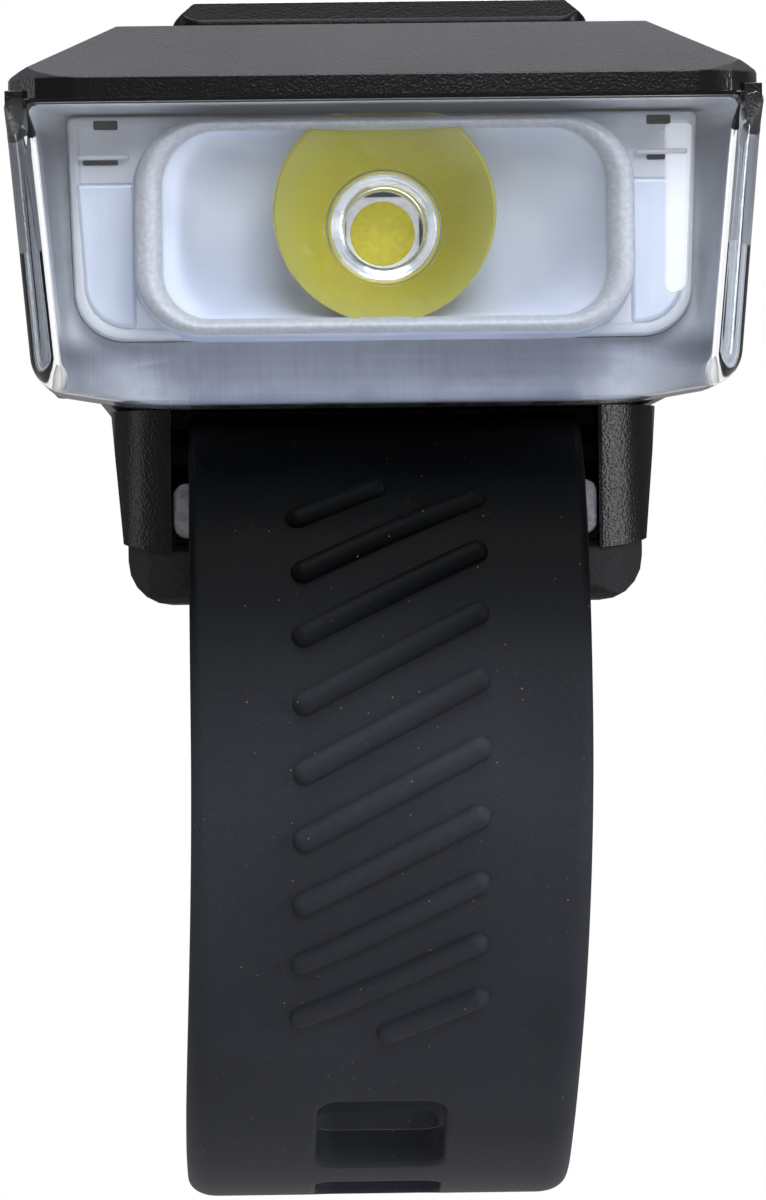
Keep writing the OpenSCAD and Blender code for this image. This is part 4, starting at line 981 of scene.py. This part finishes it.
def build_optic():
    """Collimator: clear face plate, a funnel under it coloured with a painted reflection of the emitter,
    clear bead round the well, bright wall.
    """
    top = 34.8
    face = [(OPTIC_R, -26.2), (OPTIC_R, -26.85), (5.9, -27.02), (5.78, -27.08), (3.5, -27.0), (3.2, -26.9),
            (3.16, -26.6), (3.5, -26.35), (5.7, -26.35)]
    housing_piece("optic_face", optic_loft(face, top, 0.85), optic_skin, "collimator")
    funnel = [(5.92, -26.15), (5.8, -26.2), (5.5, -26.1), (5.0, -25.85), (4.4, -25.5), (3.8, -25.15),
              (3.3, -24.9), (WELL_R, -24.8), (3.0, -24.6), (2.95, -19.6), (3.2, -19.6), (4.4, -22.4),
              (5.5, -25.0)]
    housing_piece("optic_funnel", optic_loft(funnel, top - 0.03, 0.8), optic_painted_reflection, "collimator")
    t = np.linspace(0, 2 * math.pi, 33)
    bead = [circle_at(2.56 + 0.44 * math.cos(a), WELL_Z, -25.2 + 0.75 * math.sin(a)) for a in t]
    housing_piece("optic_bead", tube(bead), optic_clear, "collimator")
    well = [circle_at(r, WELL_Z, y) for r, y in
            [(3.08, -24.85), (2.95, -24.45), (2.7, -24.2), (2.4, -24.12), (2.22, -24.0), (2.16, -23.7),
             (2.14, -21.0), (2.3, -19.3), (2.6, -19.2), (2.9, -19.4), (3.0, -23.0)]]
    housing_piece("optic_well", tube(well + well[:1]), chrome_well, "collimator")


def build_emitter():
    """Emitter in the well: white package with rounded corners and a domed phosphor disc."""
    half = 1.98
    flat, n = ring_outline(half, WELL_Z - half, WELL_Z + half, 0.3, 0.3, 6, 6)
    rings = [at_depth(flat, -18.2), at_depth(flat, -18.85), at_depth(flat - n * 0.08, -18.93)]
    housing_piece("emitter_package", loft(rings, close_first=False), lamp_white, "led_package")
    disc = [circle_at(1.76 * math.cos(q), WELL_Z, -18.92 - 0.16 * math.sin(q), count=64)
            for q in np.linspace(0, 1.5, 9)]
    housing_piece("emitter_phosphor", loft(disc, close_first=False), phosphor, "led_phosphor")


def painted_reflection_finish():
    """Painted reflection of the emitter over the cone: olive yellow, with painted milky highlights drawn
    round the axis, strongest towards the upper left.
    """
    finish, tree, shader, place = blank("collimator painted reflection")
    centre = tree.nodes.new("ShaderNodeMapping")
    centre.inputs["Location"].default_value = (0, 0, -(OPTIC_Z - 0.3) * MM)
    tree.links.new(place, centre.inputs["Vector"])
    x, _, z = split_axes(tree, centre.outputs[0])
    angle = math_node(tree, "ARCTAN2", z, x)
    radius = math_node(tree, "SQRT", math_node(tree, "ADD", times(tree, x, x), times(tree, z, z)))
    around = tree.nodes.new("ShaderNodeCombineXYZ")
    tree.links.new(times(tree, angle, 2.2), around.inputs[0])
    tree.links.new(times(tree, radius, 260.0), around.inputs[1])
    streaks = noise(tree, around.outputs[0], 3.0, 5.0, 0.65)
    broad = noise(tree, centre.outputs[0], 210.0, 3.0, 0.6)
    upper_left = math_node(tree, "SUBTRACT", times(tree, z, 90.0), times(tree, x, 60.0))
    clouds = math_node(tree, "ADD", streaks, times(tree, broad, 0.5))
    # Painted highlight: milky streaks, strongest towards the upper left.
    milky_highlight = ramp(tree, math_node(tree, "ADD", clouds, upper_left), 0.78, 1.25)
    # The painted reflection pales towards the rim.
    edge = ramp(tree, radius, 0.0040, 0.0058)
    tone = blend_paint(tree, streaks, paint(148, 138, 0), paint(172, 162, 2))
    tone = blend_paint(tree, times(tree, milky_highlight, 0.4), tone, paint(156, 150, 40))
    tone = blend_paint(tree, times(tree, edge, 0.4), tone, paint(164, 163, 96))
    tree.links.new(tone, shader.inputs["Base Color"])
    shader.inputs["Roughness"].default_value = 0.5
    shader.inputs["Specular IOR Level"].default_value = 0.1
    shader.inputs["Coat Weight"].default_value = 0.08
    bump(tree, shader, streaks, 0.00004, 0.6)
    return finish


carrier_metal = metallised("silver carrier", paint(224, 227, 233), paint(240, 241, 245),
                           0.36, (1, 1, 0.5), 0.02)
# Painted highlight: a pale glowing finish for the strip that stands in for the highlight down the right side.
painted_highlight_strip = painted_glow_finish("painted highlight strip", paint(243, 245, 251), paint(251, 252, 255), 0.3)
optic_clear = clear("clear optic plastic", (1.0, 1.0, 0.98, 1), 0.02)
optic_skin = clear("coated optic face", (1.0, 1.0, 0.98, 1), 0.02, 1.1)
chrome_well = metallised("bright well wall", paint(150, 156, 164), paint(226, 230, 236),
                         0.16, (1, 1, 1), 0.9)
optic_painted_reflection = painted_reflection_finish()
build_lens()
build_surround()
build_plate()
build_painted_highlight()
build_ring()
build_optic()
build_emitter()


# The other solids: outer ones as copies with rounded edges, inner ones as packed

def dress(finish, *nodes):
    """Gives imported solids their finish."""
    for node in nodes:
        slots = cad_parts[node].data.materials
        slots.clear()
        slots.append(finish)


eased("cover_shell", "top_cover", 0.22, cover_plastic_painted_lit_facets, "housing")
eased("cover_pad", "top_pad", 0.3, pad_plastic, "housing")
eased("button_cap", "power_button", 0.3, button_rubber, "button")
eased("case_shell", "lower_case", 0.25, case_plastic, "housing")
eased("clamp_foot", "base", 0.3, satin_plastic, "housing")
eased("bar_pad", "saddle_pad", 0.35, soft_pad, "housing")
eased("port_flap", "port_cover", 0.25, case_plastic, "port_cover")
eased("strap_plate", "strap_retainer", 0.2, textured_insert, "housing")
dress(smoked, "indicator_window")
dress(lens_gasket, "lens_seal")
dress(dark_rubber_and_gap_shade, "case_seal", "battery_pads")
dress(white_plastic, "status_led", "usb_tongue")
dress(board_green, "led_board", "main_board")
dress(sink_metal, "heat_sink")
dress(cell_wrap, "battery_cell")
dress(lead_red, "battery_leads", "led_leads")
dress(chip_black, "board_chips", "switch_stem")
dress(steel, "tact_switch", "usb_socket", "case_screws", "base_screws")
dress(pin_steel_painted_shade, "strap_pin")
dress(soft_pad, "port_tether")


# Floor: near white to the camera, pale grey as light on the object

FLOOR_Z = -75.0


def reach_from_middle(tree, place, near, far):
    """0 within near of the object's origin, 1 beyond far."""
    length = tree.nodes.new("ShaderNodeVectorMath")
    length.operation = "LENGTH"
    tree.links.new(place, length.inputs[0])
    return ramp(tree, length.outputs["Value"], near, far)


def studio_floor():
    """Round floor below the light: a disc of rings, pale with the light's shadow, unseen from below."""
    spokes, radii = 96, (600, 300, 150, 60, 0)
    turns = np.linspace(0, 2 * math.pi, spokes, endpoint=False)
    rings = [np.stack([r * np.cos(turns), r * np.sin(turns), np.full(spokes, FLOOR_Z)], 1) for r in radii]
    points = np.vstack(rings)
    mesh = weld("studio_floor", points, grid_faces(len(radii), spokes, closed=True), outward=False)
    finish, tree, shader, place = blank("pale studio floor")
    mottle = noise(tree, place, 8.0, 2.0)
    grey = blend_paint(tree, mottle, paint(184, 183, 181), paint(192, 191, 189))
    tree.links.new(grey, shader.inputs["Base Color"])
    shader.inputs["Roughness"].default_value = 0.8
    far = math_node(tree, "MAXIMUM", reach_from_middle(tree, place, 0.13, 0.30), 0.6)
    seen = times(tree, far, tree.nodes.new("ShaderNodeLightPath").outputs["Is Camera Ray"])
    white = tree.nodes.new("ShaderNodeEmission").outputs[0]
    above = mix_shaders(tree, seen, shader.outputs[0], white)
    below = tree.nodes.new("ShaderNodeNewGeometry").outputs["Backfacing"]
    unseen = tree.nodes.new("ShaderNodeBsdfTransparent").outputs[0]
    tree.links.new(mix_shaders(tree, below, above, unseen), tree.nodes["Material Output"].inputs[0])
    made = bpy.data.objects.new("studio_floor", mesh)
    bpy.context.collection.objects.link(made)
    mesh.materials.append(finish)


studio_floor()
